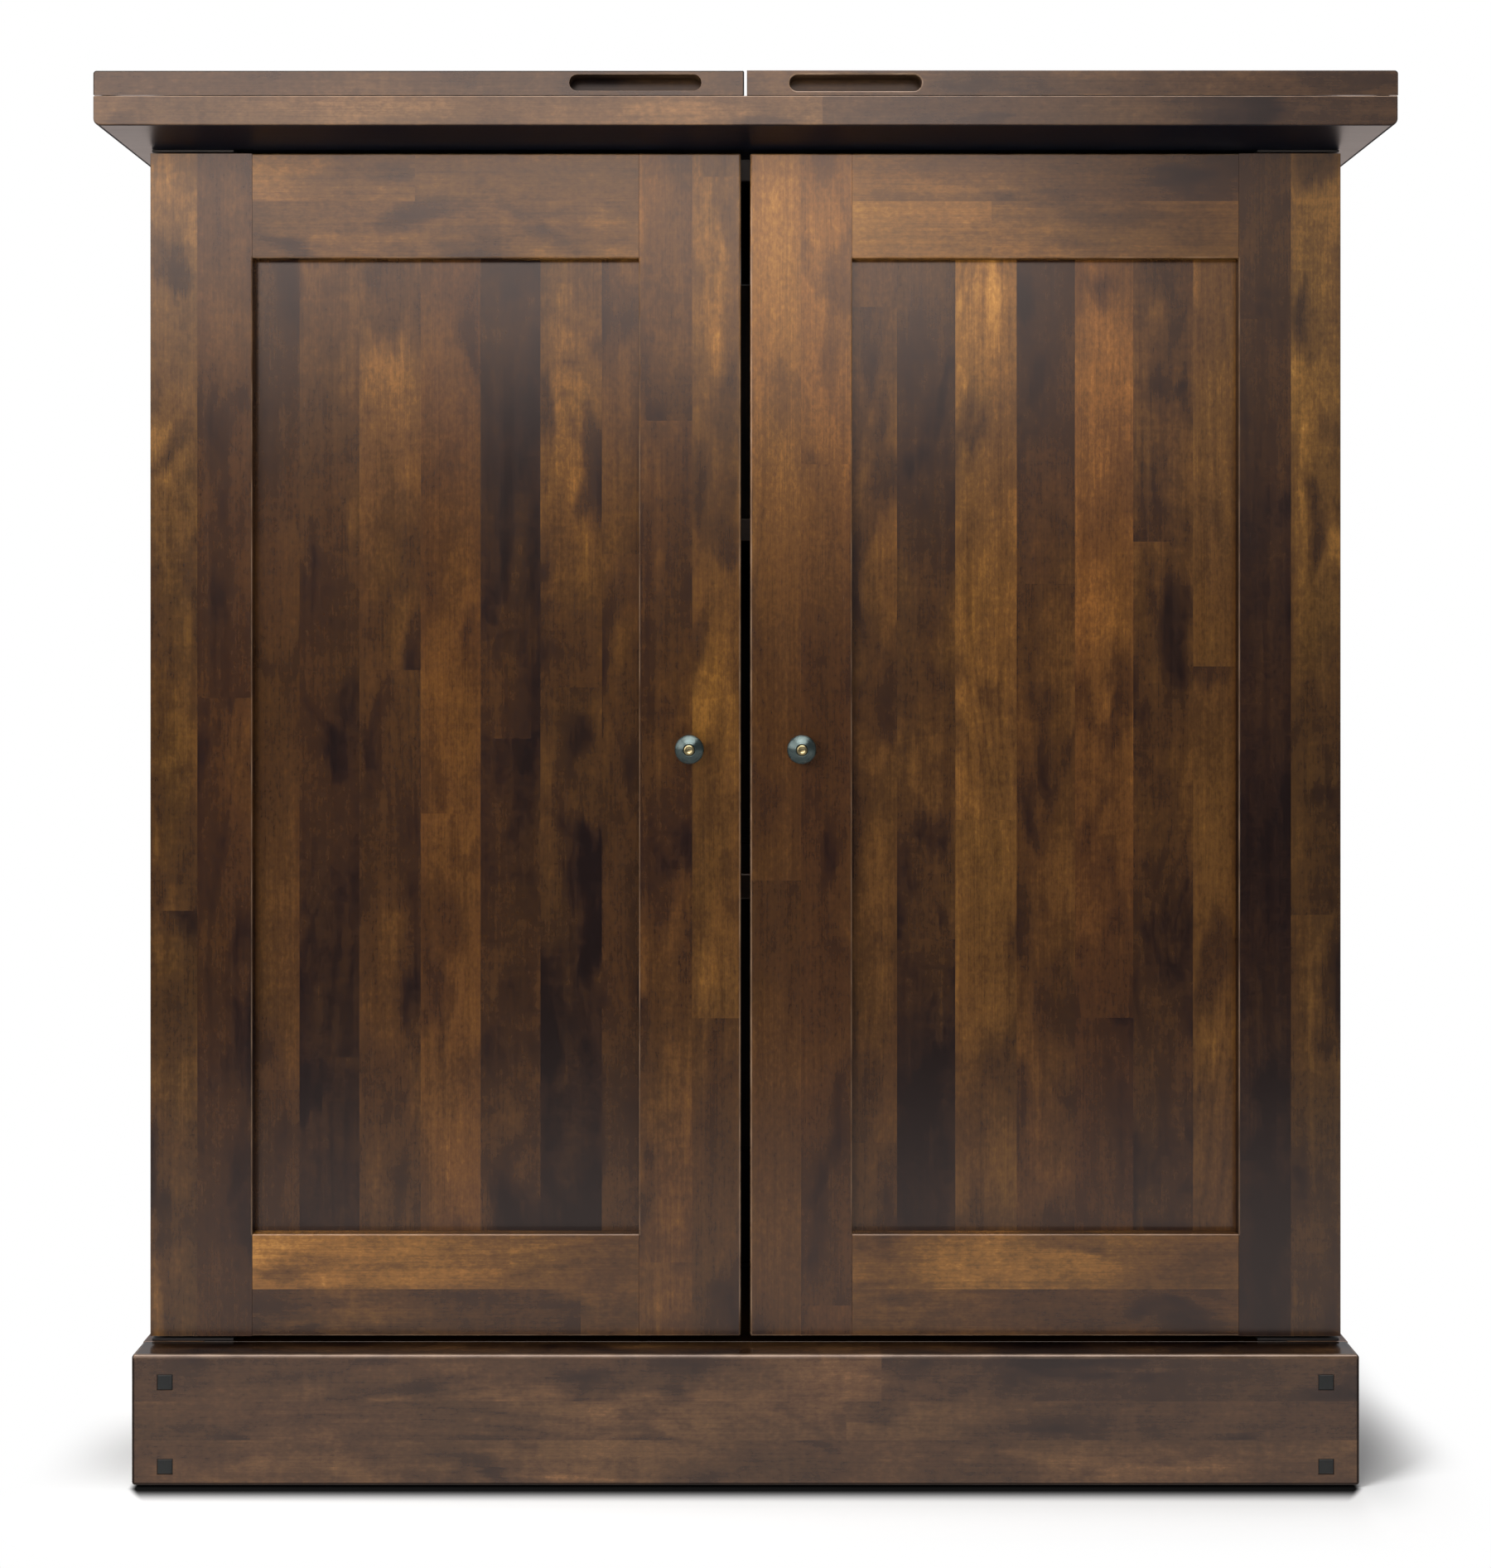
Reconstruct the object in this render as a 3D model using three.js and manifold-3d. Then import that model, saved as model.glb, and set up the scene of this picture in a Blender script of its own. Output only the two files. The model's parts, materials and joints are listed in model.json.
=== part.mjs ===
// Two-door wooden cabinet on a plinth, with a fixed top that carries two fold-out leaves.
// Millimetres, +Z up, front of the cabinet towards -Y, left towards -X.
// The origin is on the floor under the centre of the top. Doors and leaves are shown closed.

import * as THREE from "three";
import { mergeVertices } from "three/addons/utils/BufferGeometryUtils.js";
import Module from "manifold-3d";

// ---------------------------------------------------------------- driving dimensions

const SIDES = [[-1, "left"], [1, "right"]]; // sign of X, and the word used in mesh names
const FIT = 0.2; // glue line or assembly gap between two fixed pieces
const OVERCUT = 1; // how far a cutting tool runs past the face it opens

// Top: fixed board and the two leaves that lie folded on it
const TOP_W = 918;
const TOP_D = 510;
const TOP_T = 21;
const TOP_Z0 = 974;
const LEAF_T = 17;
const LEAF_SEAM = 0.6; // between the fixed board and a closed leaf
const LEAF_GAP = 2; // between the two leaves
const PULL_L = 93; // routed finger pull in each leaf's front edge
const PULL_H = 11.6;
const PULL_DEPTH = 11;
const PULL_FROM_END = 30;

// Plinth
const PLINTH_W = 889;
const PLINTH_H = 94.5;
const PLINTH_FRONT_T = 22;
const PLINTH_SIDE_T = 20;
const PLINTH_STEP = 21; // front of the plinth ahead of the door faces
const POST = 45;
const PLUG = 11; // square plugs in the front board
const PLUG_DEPTH = 8;
const PLUG_PROUD = 0.3;
const PLUG_FROM_END = 24.5;
const PLUG_LEVELS = [["lower", 14], ["upper", 75]]; // name, height of the centre

// Carcass
const BODY_W = 877;
const SIDE_T = 22;
const BODY_BACK = 245;
const BOTTOM_T = 20;
const BACK_T = 6;
const BACK_RABBET = 10;
const SIDE_STILE = 70;
const DADO = 2.8;
const DADO_FRONT_GAP = 1; // dado ahead of the shelf's front edge
const FIXED_SHELF_Z = 410;
const FIXED_SHELF_T = 20;
const FIXED_SHELF_BACK = 40; // front edge of the shelf, behind the front of the carcass
const UPPER_SHELF_Z = 690;
const UPPER_SHELF_T = 18;
const UPPER_SHELF_BACK = 60;
const UPPER_SHELF_GAP = 1; // at the sides and the back
const CLEAT_W = 12;
const CLEAT_H = 20;
const CLEAT_SETBACK = 12; // behind the front edge of the upper shelf
const CLEAT_BACK_GAP = 15; // ahead of the back panel

// Doors
const DOOR_T = 22;
const DOOR_GAP = 7; // between the two doors
const DOOR_FACE = -203;
const DOOR_BACK_CLEAR = 2.5; // behind a closed door
const DOOR_Z0 = 99;
const DOOR_Z1 = 970.5;
const DOOR_STILE = 75;
const DOOR_BOTTOM_RAIL = 75;
const EDGE_EASE_R = 2; // rounding of the hinged edge
const KNOB_Z = 532;
const BOLT_HOLE_R = 2.3;

// Frames of the sides and the doors
const RAIL = 77;
const PANEL_T = 10; // width of the groove that holds the panel
const PANEL_RECESS = 7.5;
const GROOVE = 8;
const PANEL_SLACK = 1; // from a panel's edge to the bottom of its groove

// Door catch and strike plates
const CATCH_W = 92;
const CATCH_D = 15;
const CATCH_Z0 = 957;
const CATCH_PLATE_D = 32;
const CATCH_PLATE_T = 2.5;
const CATCH_OVERLAP = 0.5; // catch body into its plate
const CATCH_SETBACK = 0.5;
const STRIKE_Z = [955.5, 969];
const STRIKE_FROM_EDGE = [7, 40]; // its two ends, in from the door's free edge
const STRIKE_OUT = [0.15, 1.4]; // its two faces, behind the door's back

// Door pivots
const PIVOT_FROM_EDGE = 8;
const PIVOT_FROM_FACE = 9;
const PIVOT_R = 3;
const PIVOT_L = 11.5;
const BUSH_R = 5;
const BUSH_BORE = 3.12;
const BUSH_L = 12;
const BUSH_HOLE_R = BUSH_R + 0.12;
const BUSH_HOLE_L = BUSH_L + 0.5;
const BRACKET_T = 2;
const BRACKET_L = 60;
const BRACKET_W = 14;
const BRACKET_INSET = 0.5; // from the outer face of the carcass

// Continuous hinges of the leaves
const HINGE_OUT = 0.5; // axis beyond the end of the top
const HINGE_L = 480;
const HINGE_END_GAP = 0.5;
const KNUCKLES = 12;
const KNUCKLE_GAP = 0.2; // at each end of a knuckle
const KNUCKLE_R = 2.5;
const KNUCKLE_BORE = 1.35;
const KNUCKLE_GROOVE_R = KNUCKLE_R + 0.65;
const HINGE_PIN_R = 1.12;
const HINGE_PLATE = 1;
const HINGE_PLATE_H = 11.4;
const PLATE_NEAR = KNUCKLE_R + 0.4; // distances from the hinge axis, up or down
const PLATE_FAR = PLATE_NEAR + HINGE_PLATE_H;
const MORTISE_FAR = PLATE_FAR + 0.3;
const TAB_NEAR = KNUCKLE_BORE + 0.4;
const TAB_FAR = PLATE_NEAR + 0.5;

// ---------------------------------------------------------------- derived positions

const TOP_Z1 = TOP_Z0 + TOP_T;
const TOP_END = TOP_W / 2;
const TOP_FRONT = -TOP_D / 2;
const LEAF_Z0 = TOP_Z1 + LEAF_SEAM;
const AXIS_X = TOP_END + HINGE_OUT;
const AXIS_Z = TOP_Z1 + LEAF_SEAM / 2;
const BODY_FRONT = DOOR_FACE + DOOR_T + DOOR_BACK_CLEAR;
const BODY_Z0 = PLINTH_H + FIT;
const BODY_Z1 = TOP_Z0 - FIT;
const PLINTH_FRONT = DOOR_FACE - PLINTH_STEP;
const PLINTH_BOARD_BACK = PLINTH_FRONT + PLINTH_FRONT_T;
const PLINTH_REAR_FRONT = BODY_BACK - PLINTH_SIDE_T;
const PLUG_X = PLINTH_W / 2 - PLUG_FROM_END;
const TENON = GROOVE - FIT;
const PANEL_LAP = GROOVE - PANEL_SLACK; // panel edge inside its groove
const GROOVE_NEAR = PANEL_RECESS; // walls of the panel groove, in from the outer face
const GROOVE_FAR = PANEL_RECESS + PANEL_T;
const DOOR_W = (BODY_W - DOOR_GAP) / 2;
const KNOB_IN = DOOR_W - DOOR_STILE / 2; // from the hinged edge
const PIVOT_X = BODY_W / 2 - PIVOT_FROM_EDGE;
const PIVOT_Y = DOOR_FACE + PIVOT_FROM_FACE;

// ---------------------------------------------------------------- materials

const wood = (color, roughness) =>
  new THREE.MeshStandardMaterial({ color, roughness, metalness: 0 });
const metal = (color, roughness) =>
  new THREE.MeshStandardMaterial({ color, roughness, metalness: 1 });
const SATIN = 0.42; // roughness of the stained outer faces
const stainedTop = wood(0x5d4636, SATIN);
const stainedFront = wood(0x4a2f1e, SATIN);
const stainedPlinth = wood(0x4c3728, SATIN);
const stainedInside = wood(0x50341f, 0.55);
const plywood = wood(0x4a3526, 0.6);
const plugBlack = wood(0x2b2c2b, 0.5);
const darkSteel = metal(0x3c4044, 0.35);
const brass = metal(0xb79a5c, 0.35);
const hingeBrass = metal(0x8a7440, 0.4);
const plastic = new THREE.MeshStandardMaterial({ color: 0x2a211b, roughness: 0.5, metalness: 0 });

// ---------------------------------------------------------------- solids

const wasm = await Module();
wasm.setup();

function solidOf(geometry) {
  const bare = geometry.clone();
  for (const name of Object.keys(bare.attributes)) {
    if (name !== "position") bare.deleteAttribute(name);
  }
  const merged = mergeVertices(bare, 1e-4);
  return new wasm.Manifold(
    new wasm.Mesh({
      numProp: 3,
      vertProperties: new Float32Array(merged.attributes.position.array),
      triVerts: new Uint32Array(merged.index.array),
    }),
  );
}

function geometryOf(solid) {
  const { numVert, numProp, vertProperties, triVerts } = solid.getMesh();
  const position = new Float32Array(numVert * 3);
  for (let i = 0; i < numVert; i++) {
    position.set(vertProperties.subarray(i * numProp, i * numProp + 3), i * 3);
  }
  const geometry = new THREE.BufferGeometry()
    .setAttribute("position", new THREE.BufferAttribute(position, 3))
    .setIndex(new THREE.BufferAttribute(new Uint32Array(triVerts), 1));
  geometry.computeVertexNormals();
  return geometry;
}

const join = (...pieces) => geometryOf(pieces.map(solidOf).reduce((a, b) => a.add(b)));
const cut = (from, ...tools) =>
  geometryOf(tools.map(solidOf).reduce((a, b) => a.subtract(b), solidOf(from)));

// A box between two limits on each axis, given in either order.
function cuboid(x0, x1, y0, y1, z0, z1) {
  return new THREE.BoxGeometry(Math.abs(x1 - x0), Math.abs(y1 - y0), Math.abs(z1 - z0))
    .translate((x0 + x1) / 2, (y0 + y1) / 2, (z0 + z1) / 2);
}

// A profile in X and Y, run along Z.
function alongZ(points, z0, z1) {
  const shape = new THREE.Shape(points.map(([x, y]) => new THREE.Vector2(x, y)));
  shape.closePath();
  return new THREE.ExtrudeGeometry(shape, { depth: z1 - z0, bevelEnabled: false })
    .translate(0, 0, z0);
}

// Round bars along Z and Y.
const barZ = (radius, x, y, z0, z1, segments) =>
  new THREE.CylinderGeometry(radius, radius, Math.abs(z1 - z0), segments)
    .rotateX(Math.PI / 2)
    .translate(x, y, (z0 + z1) / 2);
const barY = (radius, x, z, y0, y1, segments) =>
  new THREE.CylinderGeometry(radius, radius, y1 - y0, segments).translate(x, (y0 + y1) / 2, z);

// A turned piece about Y: profile pairs are radius and distance along the axis.
const turned = (profile, segments) =>
  new THREE.LatheGeometry(profile.map(([r, d]) => new THREE.Vector2(r, d)), segments);

const object = new THREE.Group();

function group(parent) {
  const made = new THREE.Group();
  parent.add(made);
  return made;
}

function place(parent, name, geometry, material, position = [0, 0, 0]) {
  const mesh = new THREE.Mesh(geometry, material);
  mesh.name = name;
  mesh.position.set(...position);
  parent.add(mesh);
}

// ---------------------------------------------------------------- plinth

const plinth = group(object);

function plinthFrontBoard() {
  const half = PLUG / 2 + FIT;
  const pockets = SIDES.flatMap(([sign]) =>
    PLUG_LEVELS.map(([, z]) => {
      const x = sign * PLUG_X;
      const y0 = PLINTH_FRONT - OVERCUT;
      return cuboid(x - half, x + half, y0, PLINTH_FRONT + PLUG_DEPTH, z - half, z + half);
    }),
  );
  const half_w = PLINTH_W / 2;
  return cut(cuboid(-half_w, half_w, PLINTH_FRONT, PLINTH_BOARD_BACK, 0, PLINTH_H), ...pockets);
}

// Floor of the cabinet: flush with the top of the plinth, notched round the two front posts
function bottomBoard() {
  const rearX = PLINTH_W / 2 - PLINTH_SIDE_T - FIT;
  const frontX = PLINTH_W / 2 - POST - FIT;
  const front = PLINTH_BOARD_BACK + FIT;
  const notch = PLINTH_BOARD_BACK + POST + FIT;
  const back = PLINTH_REAR_FRONT - FIT;
  return alongZ(
    [
      [-frontX, front], [frontX, front], [frontX, notch], [rearX, notch],
      [rearX, back], [-rearX, back], [-rearX, notch], [-frontX, notch],
    ],
    PLINTH_H - BOTTOM_T,
    PLINTH_H,
  );
}

function plinthSide(sign, side) {
  const outer = (sign * PLINTH_W) / 2;
  const postInner = outer - sign * POST;
  const boardInner = outer - sign * PLINTH_SIDE_T;
  const postBack = PLINTH_BOARD_BACK + POST;
  place(
    plinth,
    `plinth_post_${side}`,
    cuboid(outer, postInner, PLINTH_BOARD_BACK + FIT, postBack, 0, PLINTH_H),
    stainedPlinth,
  );
  place(
    plinth,
    `plinth_${side}_board`,
    cuboid(outer, boardInner, postBack + FIT, PLINTH_REAR_FRONT - FIT, 0, PLINTH_H),
    stainedPlinth,
  );
  for (const [level, z] of PLUG_LEVELS) {
    place(
      plinth,
      `plug_${side}_${level}`,
      new THREE.BoxGeometry(PLUG, PLUG_DEPTH + PLUG_PROUD - FIT, PLUG),
      plugBlack,
      [sign * PLUG_X, PLINTH_FRONT + (PLUG_DEPTH - PLUG_PROUD - FIT) / 2, z],
    );
  }
}

place(plinth, "plinth_front_board", plinthFrontBoard(), stainedPlinth);
for (const [sign, side] of SIDES) plinthSide(sign, side);
place(
  plinth,
  "plinth_rear_board",
  cuboid(-PLINTH_W / 2, PLINTH_W / 2, PLINTH_REAR_FRONT, BODY_BACK, 0, PLINTH_H),
  stainedPlinth,
);
place(plinth, "bottom_board", bottomBoard(), stainedInside);

// ---------------------------------------------------------------- carcass
// Each side has stiles, rails and a panel held in grooves.
// In these functions inward(d) is X at a distance d in from the side's outer face.

const carcass = group(object);
const FRONT_STILE_BACK = BODY_FRONT + SIDE_STILE;
const REAR_STILE_FRONT = BODY_BACK - SIDE_STILE;

const fixedShelfDado = (inward) =>
  cuboid(
    inward(SIDE_T - DADO - FIT),
    inward(SIDE_T + OVERCUT),
    BODY_FRONT + FIXED_SHELF_BACK - DADO_FRONT_GAP,
    BODY_BACK,
    FIXED_SHELF_Z - FIT,
    FIXED_SHELF_Z + FIXED_SHELF_T + FIT,
  );

function sideFrontStile(inward) {
  const profile = [
    [inward(0), BODY_FRONT],
    [inward(SIDE_T), BODY_FRONT],
    [inward(SIDE_T), FRONT_STILE_BACK],
    [inward(GROOVE_FAR), FRONT_STILE_BACK],
    [inward(GROOVE_FAR), FRONT_STILE_BACK - GROOVE],
    [inward(GROOVE_NEAR), FRONT_STILE_BACK - GROOVE],
    [inward(GROOVE_NEAR), FRONT_STILE_BACK],
    [inward(0), FRONT_STILE_BACK],
  ];
  return cut(alongZ(profile, BODY_Z0, BODY_Z1), fixedShelfDado(inward));
}

// The rear stile is also rabbeted for the back panel
function sideRearStile(inward) {
  const rabbetY = BODY_BACK - BACK_T - FIT;
  const profile = [
    [inward(0), BODY_BACK],
    [inward(0), REAR_STILE_FRONT],
    [inward(GROOVE_NEAR), REAR_STILE_FRONT],
    [inward(GROOVE_NEAR), REAR_STILE_FRONT + GROOVE],
    [inward(GROOVE_FAR), REAR_STILE_FRONT + GROOVE],
    [inward(GROOVE_FAR), REAR_STILE_FRONT],
    [inward(SIDE_T), REAR_STILE_FRONT],
    [inward(SIDE_T), rabbetY],
    [inward(SIDE_T - BACK_RABBET), rabbetY],
    [inward(SIDE_T - BACK_RABBET), BODY_BACK],
  ];
  return cut(alongZ(profile, BODY_Z0, BODY_Z1), fixedShelfDado(inward));
}

// panelEdgeZ is the edge of the rail that faces the panel
function sideRail(inward, z0, z1, panelEdgeZ) {
  const y0 = FRONT_STILE_BACK + FIT;
  const y1 = REAR_STILE_FRONT - FIT;
  const reach = GROOVE + OVERCUT;
  const near = inward(GROOVE_NEAR);
  const far = inward(GROOVE_FAR);
  const tenonNear = inward(GROOVE_NEAR + FIT);
  const tenonFar = inward(GROOVE_FAR - FIT);
  return cut(
    join(
      cuboid(inward(0), inward(SIDE_T), y0, y1, z0, z1),
      cuboid(tenonNear, tenonFar, y0 - TENON, y1 + TENON, z0, z1),
    ),
    cuboid(near, far, y0 - reach, y1 + reach, panelEdgeZ - GROOVE, panelEdgeZ + GROOVE),
  );
}

const sidePanel = (inward) =>
  cuboid(
    inward(GROOVE_NEAR + FIT),
    inward(GROOVE_FAR - FIT),
    FRONT_STILE_BACK - PANEL_LAP,
    REAR_STILE_FRONT + PANEL_LAP,
    BODY_Z0 + RAIL - PANEL_LAP,
    BODY_Z1 - RAIL + PANEL_LAP,
  );

const shelfCleat = (inward) =>
  cuboid(
    inward(SIDE_T + FIT),
    inward(SIDE_T + CLEAT_W),
    BODY_FRONT + UPPER_SHELF_BACK + CLEAT_SETBACK,
    BODY_BACK - BACK_T - CLEAT_BACK_GAP,
    UPPER_SHELF_Z - CLEAT_H,
    UPPER_SHELF_Z - FIT,
  );

// A board centred on X, from halfW either side
const centred = (halfW, y0, y1, z0, z1) => cuboid(-halfW, halfW, y0, y1, z0, z1);

const backPanel = () =>
  centred(
    BODY_W / 2 - SIDE_T + BACK_RABBET - FIT,
    BODY_BACK - BACK_T,
    BODY_BACK,
    BODY_Z0,
    BODY_Z1,
  );

const fixedShelf = () =>
  centred(
    BODY_W / 2 - SIDE_T + DADO,
    BODY_FRONT + FIXED_SHELF_BACK,
    BODY_BACK - BACK_T - FIT,
    FIXED_SHELF_Z,
    FIXED_SHELF_Z + FIXED_SHELF_T,
  );

const upperShelf = () =>
  centred(
    BODY_W / 2 - SIDE_T - UPPER_SHELF_GAP,
    BODY_FRONT + UPPER_SHELF_BACK,
    BODY_BACK - BACK_T - UPPER_SHELF_GAP,
    UPPER_SHELF_Z,
    UPPER_SHELF_Z + UPPER_SHELF_T,
  );

// Magnetic catch for both doors, under the top: a body hung from a deeper plate
function doorCatch() {
  const front = BODY_FRONT + CATCH_SETBACK;
  const plateZ0 = BODY_Z1 - CATCH_PLATE_T;
  const half = CATCH_W / 2;
  return join(
    centred(half, front, BODY_FRONT + CATCH_D, CATCH_Z0, plateZ0 + CATCH_OVERLAP),
    centred(half, front, BODY_FRONT + CATCH_PLATE_D, plateZ0, BODY_Z1),
  );
}

for (const [sign, side] of SIDES) {
  const inward = (d) => sign * (BODY_W / 2 - d);
  const topRail = sideRail(inward, BODY_Z1 - RAIL, BODY_Z1, BODY_Z1 - RAIL);
  const bottomRail = sideRail(inward, BODY_Z0, BODY_Z0 + RAIL, BODY_Z0 + RAIL);
  place(carcass, `side_${side}_front_stile`, sideFrontStile(inward), stainedFront);
  place(carcass, `side_${side}_rear_stile`, sideRearStile(inward), stainedFront);
  place(carcass, `side_${side}_top_rail`, topRail, stainedFront);
  place(carcass, `side_${side}_bottom_rail`, bottomRail, stainedFront);
  place(carcass, `side_${side}_panel`, sidePanel(inward), stainedFront);
  place(carcass, `shelf_cleat_${side}`, shelfCleat(inward), stainedInside);
}
place(carcass, "back_panel", backPanel(), plywood);
place(carcass, "fixed_shelf", fixedShelf(), stainedInside);
place(carcass, "upper_shelf", upperShelf(), stainedInside);
place(carcass, "door_catch", doorCatch(), plastic);

// ---------------------------------------------------------------- top and folding leaves
// In hinge parts, up is -1 on the fixed top and +1 on the folding leaf.

const topGroup = group(object);

// Room for the hinge: a round groove for the knuckles and a mortise for a plate,
// so that the ends of a leaf and of the top close on each other when the leaf lies open
function hingeRecess(sign, up) {
  const half = HINGE_L / 2 + HINGE_END_GAP;
  const mortiseX = sign * (TOP_END - HINGE_PLATE - FIT);
  const outerX = sign * (TOP_END + OVERCUT);
  const z0 = AXIS_Z - up * OVERCUT;
  const z1 = AXIS_Z + up * MORTISE_FAR;
  return [
    cuboid(mortiseX, outerX, -half, half, z0, z1),
    barY(KNUCKLE_GROOVE_R, sign * AXIS_X, AXIS_Z, -half, half, 16),
  ];
}

// One plate with every second knuckle, starting at firstKnuckle
function hingeLeaf(sign, firstKnuckle, up) {
  const pitch = HINGE_L / KNUCKLES;
  const half = HINGE_L / 2;
  const axisX = sign * AXIS_X;
  const plate = (y0, y1, near, far) =>
    cuboid(
      sign * (TOP_END - HINGE_PLATE), sign * TOP_END,
      y0, y1,
      AXIS_Z + up * near, AXIS_Z + up * far,
    );
  const pieces = [plate(-half, half, PLATE_NEAR, PLATE_FAR)];
  for (let i = firstKnuckle; i < KNUCKLES; i += 2) {
    const y0 = -half + i * pitch + KNUCKLE_GAP;
    const y1 = y0 + pitch - 2 * KNUCKLE_GAP;
    pieces.push(plate(y0, y1, TAB_NEAR, TAB_FAR), barY(KNUCKLE_R, axisX, AXIS_Z, y0, y1, 12));
  }
  const bore = barY(KNUCKLE_BORE, axisX, AXIS_Z, -half - OVERCUT, half + OVERCUT, 8);
  return cut(join(...pieces), bore);
}

// Finger pull: a stadium-shaped pocket in the front edge near the middle of the cabinet
function fingerPull(sign) {
  const radius = PULL_H / 2;
  const arcX = PULL_L / 2 - radius;
  const stadium = new THREE.Shape();
  stadium.absarc(arcX, 0, radius, -Math.PI / 2, Math.PI / 2, false);
  stadium.absarc(-arcX, 0, radius, Math.PI / 2, (3 * Math.PI) / 2, false);
  const depth = PULL_DEPTH + OVERCUT;
  return new THREE.ExtrudeGeometry(stadium, { depth, bevelEnabled: false, curveSegments: 12 })
    .rotateX(Math.PI / 2)
    .translate(
      sign * (LEAF_GAP / 2 + PULL_FROM_END + PULL_L / 2),
      TOP_FRONT + PULL_DEPTH,
      LEAF_Z0 + LEAF_T / 2,
    );
}

const topBoard = () =>
  cut(
    centred(TOP_END, TOP_FRONT, -TOP_FRONT, TOP_Z0, TOP_Z1),
    ...hingeRecess(-1, -1),
    ...hingeRecess(1, -1),
  );

function flipLeaf(sign) {
  const inner = sign * (LEAF_GAP / 2);
  return cut(
    cuboid(inner, sign * TOP_END, TOP_FRONT, -TOP_FRONT, LEAF_Z0, LEAF_Z0 + LEAF_T),
    fingerPull(sign),
    ...hingeRecess(sign, 1),
  );
}

place(topGroup, "top_board", topBoard(), stainedTop);
for (const [sign, side] of SIDES) {
  const pin = barY(HINGE_PIN_R, sign * AXIS_X, AXIS_Z, -HINGE_L / 2, HINGE_L / 2, 8);
  place(topGroup, `top_hinge_${side}_fixed_leaf`, hingeLeaf(sign, 0, -1), hingeBrass);
  place(topGroup, `top_hinge_${side}_pin`, pin, hingeBrass);
  const flip = group(topGroup);
  place(flip, `flip_leaf_${side}`, flipLeaf(sign), stainedTop);
  place(flip, `top_hinge_${side}_moving_leaf`, hingeLeaf(sign, 1, 1), hingeBrass);
}

// ---------------------------------------------------------------- doors
// Each door's group sits on its pivot axis at floor level, with Y to the back.
// In these functions across(d) is X at a distance d from the hinged edge.

const FACE_Y = -PIVOT_FROM_FACE;
const REAR_Y = FACE_Y + DOOR_T;
const GROOVE_Y0 = FACE_Y + GROOVE_NEAR;
const GROOVE_Y1 = FACE_Y + GROOVE_FAR;
const LATCH_STILE_IN = DOOR_W - DOOR_STILE; // inner edge of the latch stile

function hingeStile(across) {
  // The hinged edge is eased at the back so that it clears the side as the door turns
  const ease = [0, 30, 60, 90].map((degrees) => {
    const angle = THREE.MathUtils.degToRad(degrees);
    const x = across(EDGE_EASE_R * (1 - Math.cos(angle)));
    return [x, REAR_Y - EDGE_EASE_R * (1 - Math.sin(angle))];
  });
  const profile = [
    [across(0), FACE_Y],
    ...ease,
    [across(DOOR_STILE), REAR_Y],
    [across(DOOR_STILE), GROOVE_Y1],
    [across(DOOR_STILE - GROOVE), GROOVE_Y1],
    [across(DOOR_STILE - GROOVE), GROOVE_Y0],
    [across(DOOR_STILE), GROOVE_Y0],
    [across(DOOR_STILE), FACE_Y],
  ];
  return cut(
    alongZ(profile, DOOR_Z0, DOOR_Z1),
    barZ(BUSH_HOLE_R, 0, 0, DOOR_Z1 - BUSH_HOLE_L, DOOR_Z1 + OVERCUT, 16),
    barZ(BUSH_HOLE_R, 0, 0, DOOR_Z0 - OVERCUT, DOOR_Z0 + BUSH_HOLE_L, 16),
  );
}

function latchStile(across) {
  const profile = [
    [across(DOOR_W), FACE_Y],
    [across(DOOR_W), REAR_Y],
    [across(LATCH_STILE_IN), REAR_Y],
    [across(LATCH_STILE_IN), GROOVE_Y1],
    [across(LATCH_STILE_IN + GROOVE), GROOVE_Y1],
    [across(LATCH_STILE_IN + GROOVE), GROOVE_Y0],
    [across(LATCH_STILE_IN), GROOVE_Y0],
    [across(LATCH_STILE_IN), FACE_Y],
  ];
  return cut(
    alongZ(profile, DOOR_Z0, DOOR_Z1),
    barY(BOLT_HOLE_R, across(KNOB_IN), KNOB_Z, FACE_Y - OVERCUT, REAR_Y + OVERCUT, 12),
  );
}

// panelEdgeZ is the edge of the rail that faces the panel
function doorRail(across, z0, z1, panelEdgeZ) {
  // A box that runs past both shoulders of the rail by the same reach
  const span = (reach, ...limits) =>
    cuboid(
      across(DOOR_STILE + FIT - reach),
      across(LATCH_STILE_IN - FIT + reach),
      ...limits,
    );
  return cut(
    join(
      span(0, FACE_Y, REAR_Y, z0, z1),
      span(TENON, GROOVE_Y0 + FIT, GROOVE_Y1 - FIT, z0, z1),
    ),
    span(GROOVE + OVERCUT, GROOVE_Y0, GROOVE_Y1, panelEdgeZ - GROOVE, panelEdgeZ + GROOVE),
  );
}

const doorPanel = (across) =>
  cuboid(
    across(DOOR_STILE - PANEL_LAP),
    across(LATCH_STILE_IN + PANEL_LAP),
    GROOVE_Y0 + FIT,
    GROOVE_Y1 - FIT,
    DOOR_Z0 + DOOR_BOTTOM_RAIL - PANEL_LAP,
    DOOR_Z1 - RAIL + PANEL_LAP,
  );

// Turned knob, hollow for its bolt: radius, distance out from the door's face
const KNOB_PROFILE = [
  [BOLT_HOLE_R, 0.2], [6.6, 0.2], [6.6, 1.6], [5.2, 3.2], [5.0, 6.0],
  [6.4, 8.4], [9.6, 9.8], [10.7, 11.0], [10.5, 12.6], [8.4, 15.6],
  [5.6, 17.6], [4.25, 18.2], [4.25, 14.4], [BOLT_HOLE_R, 14.4], [BOLT_HOLE_R, 0.2],
];

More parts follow.
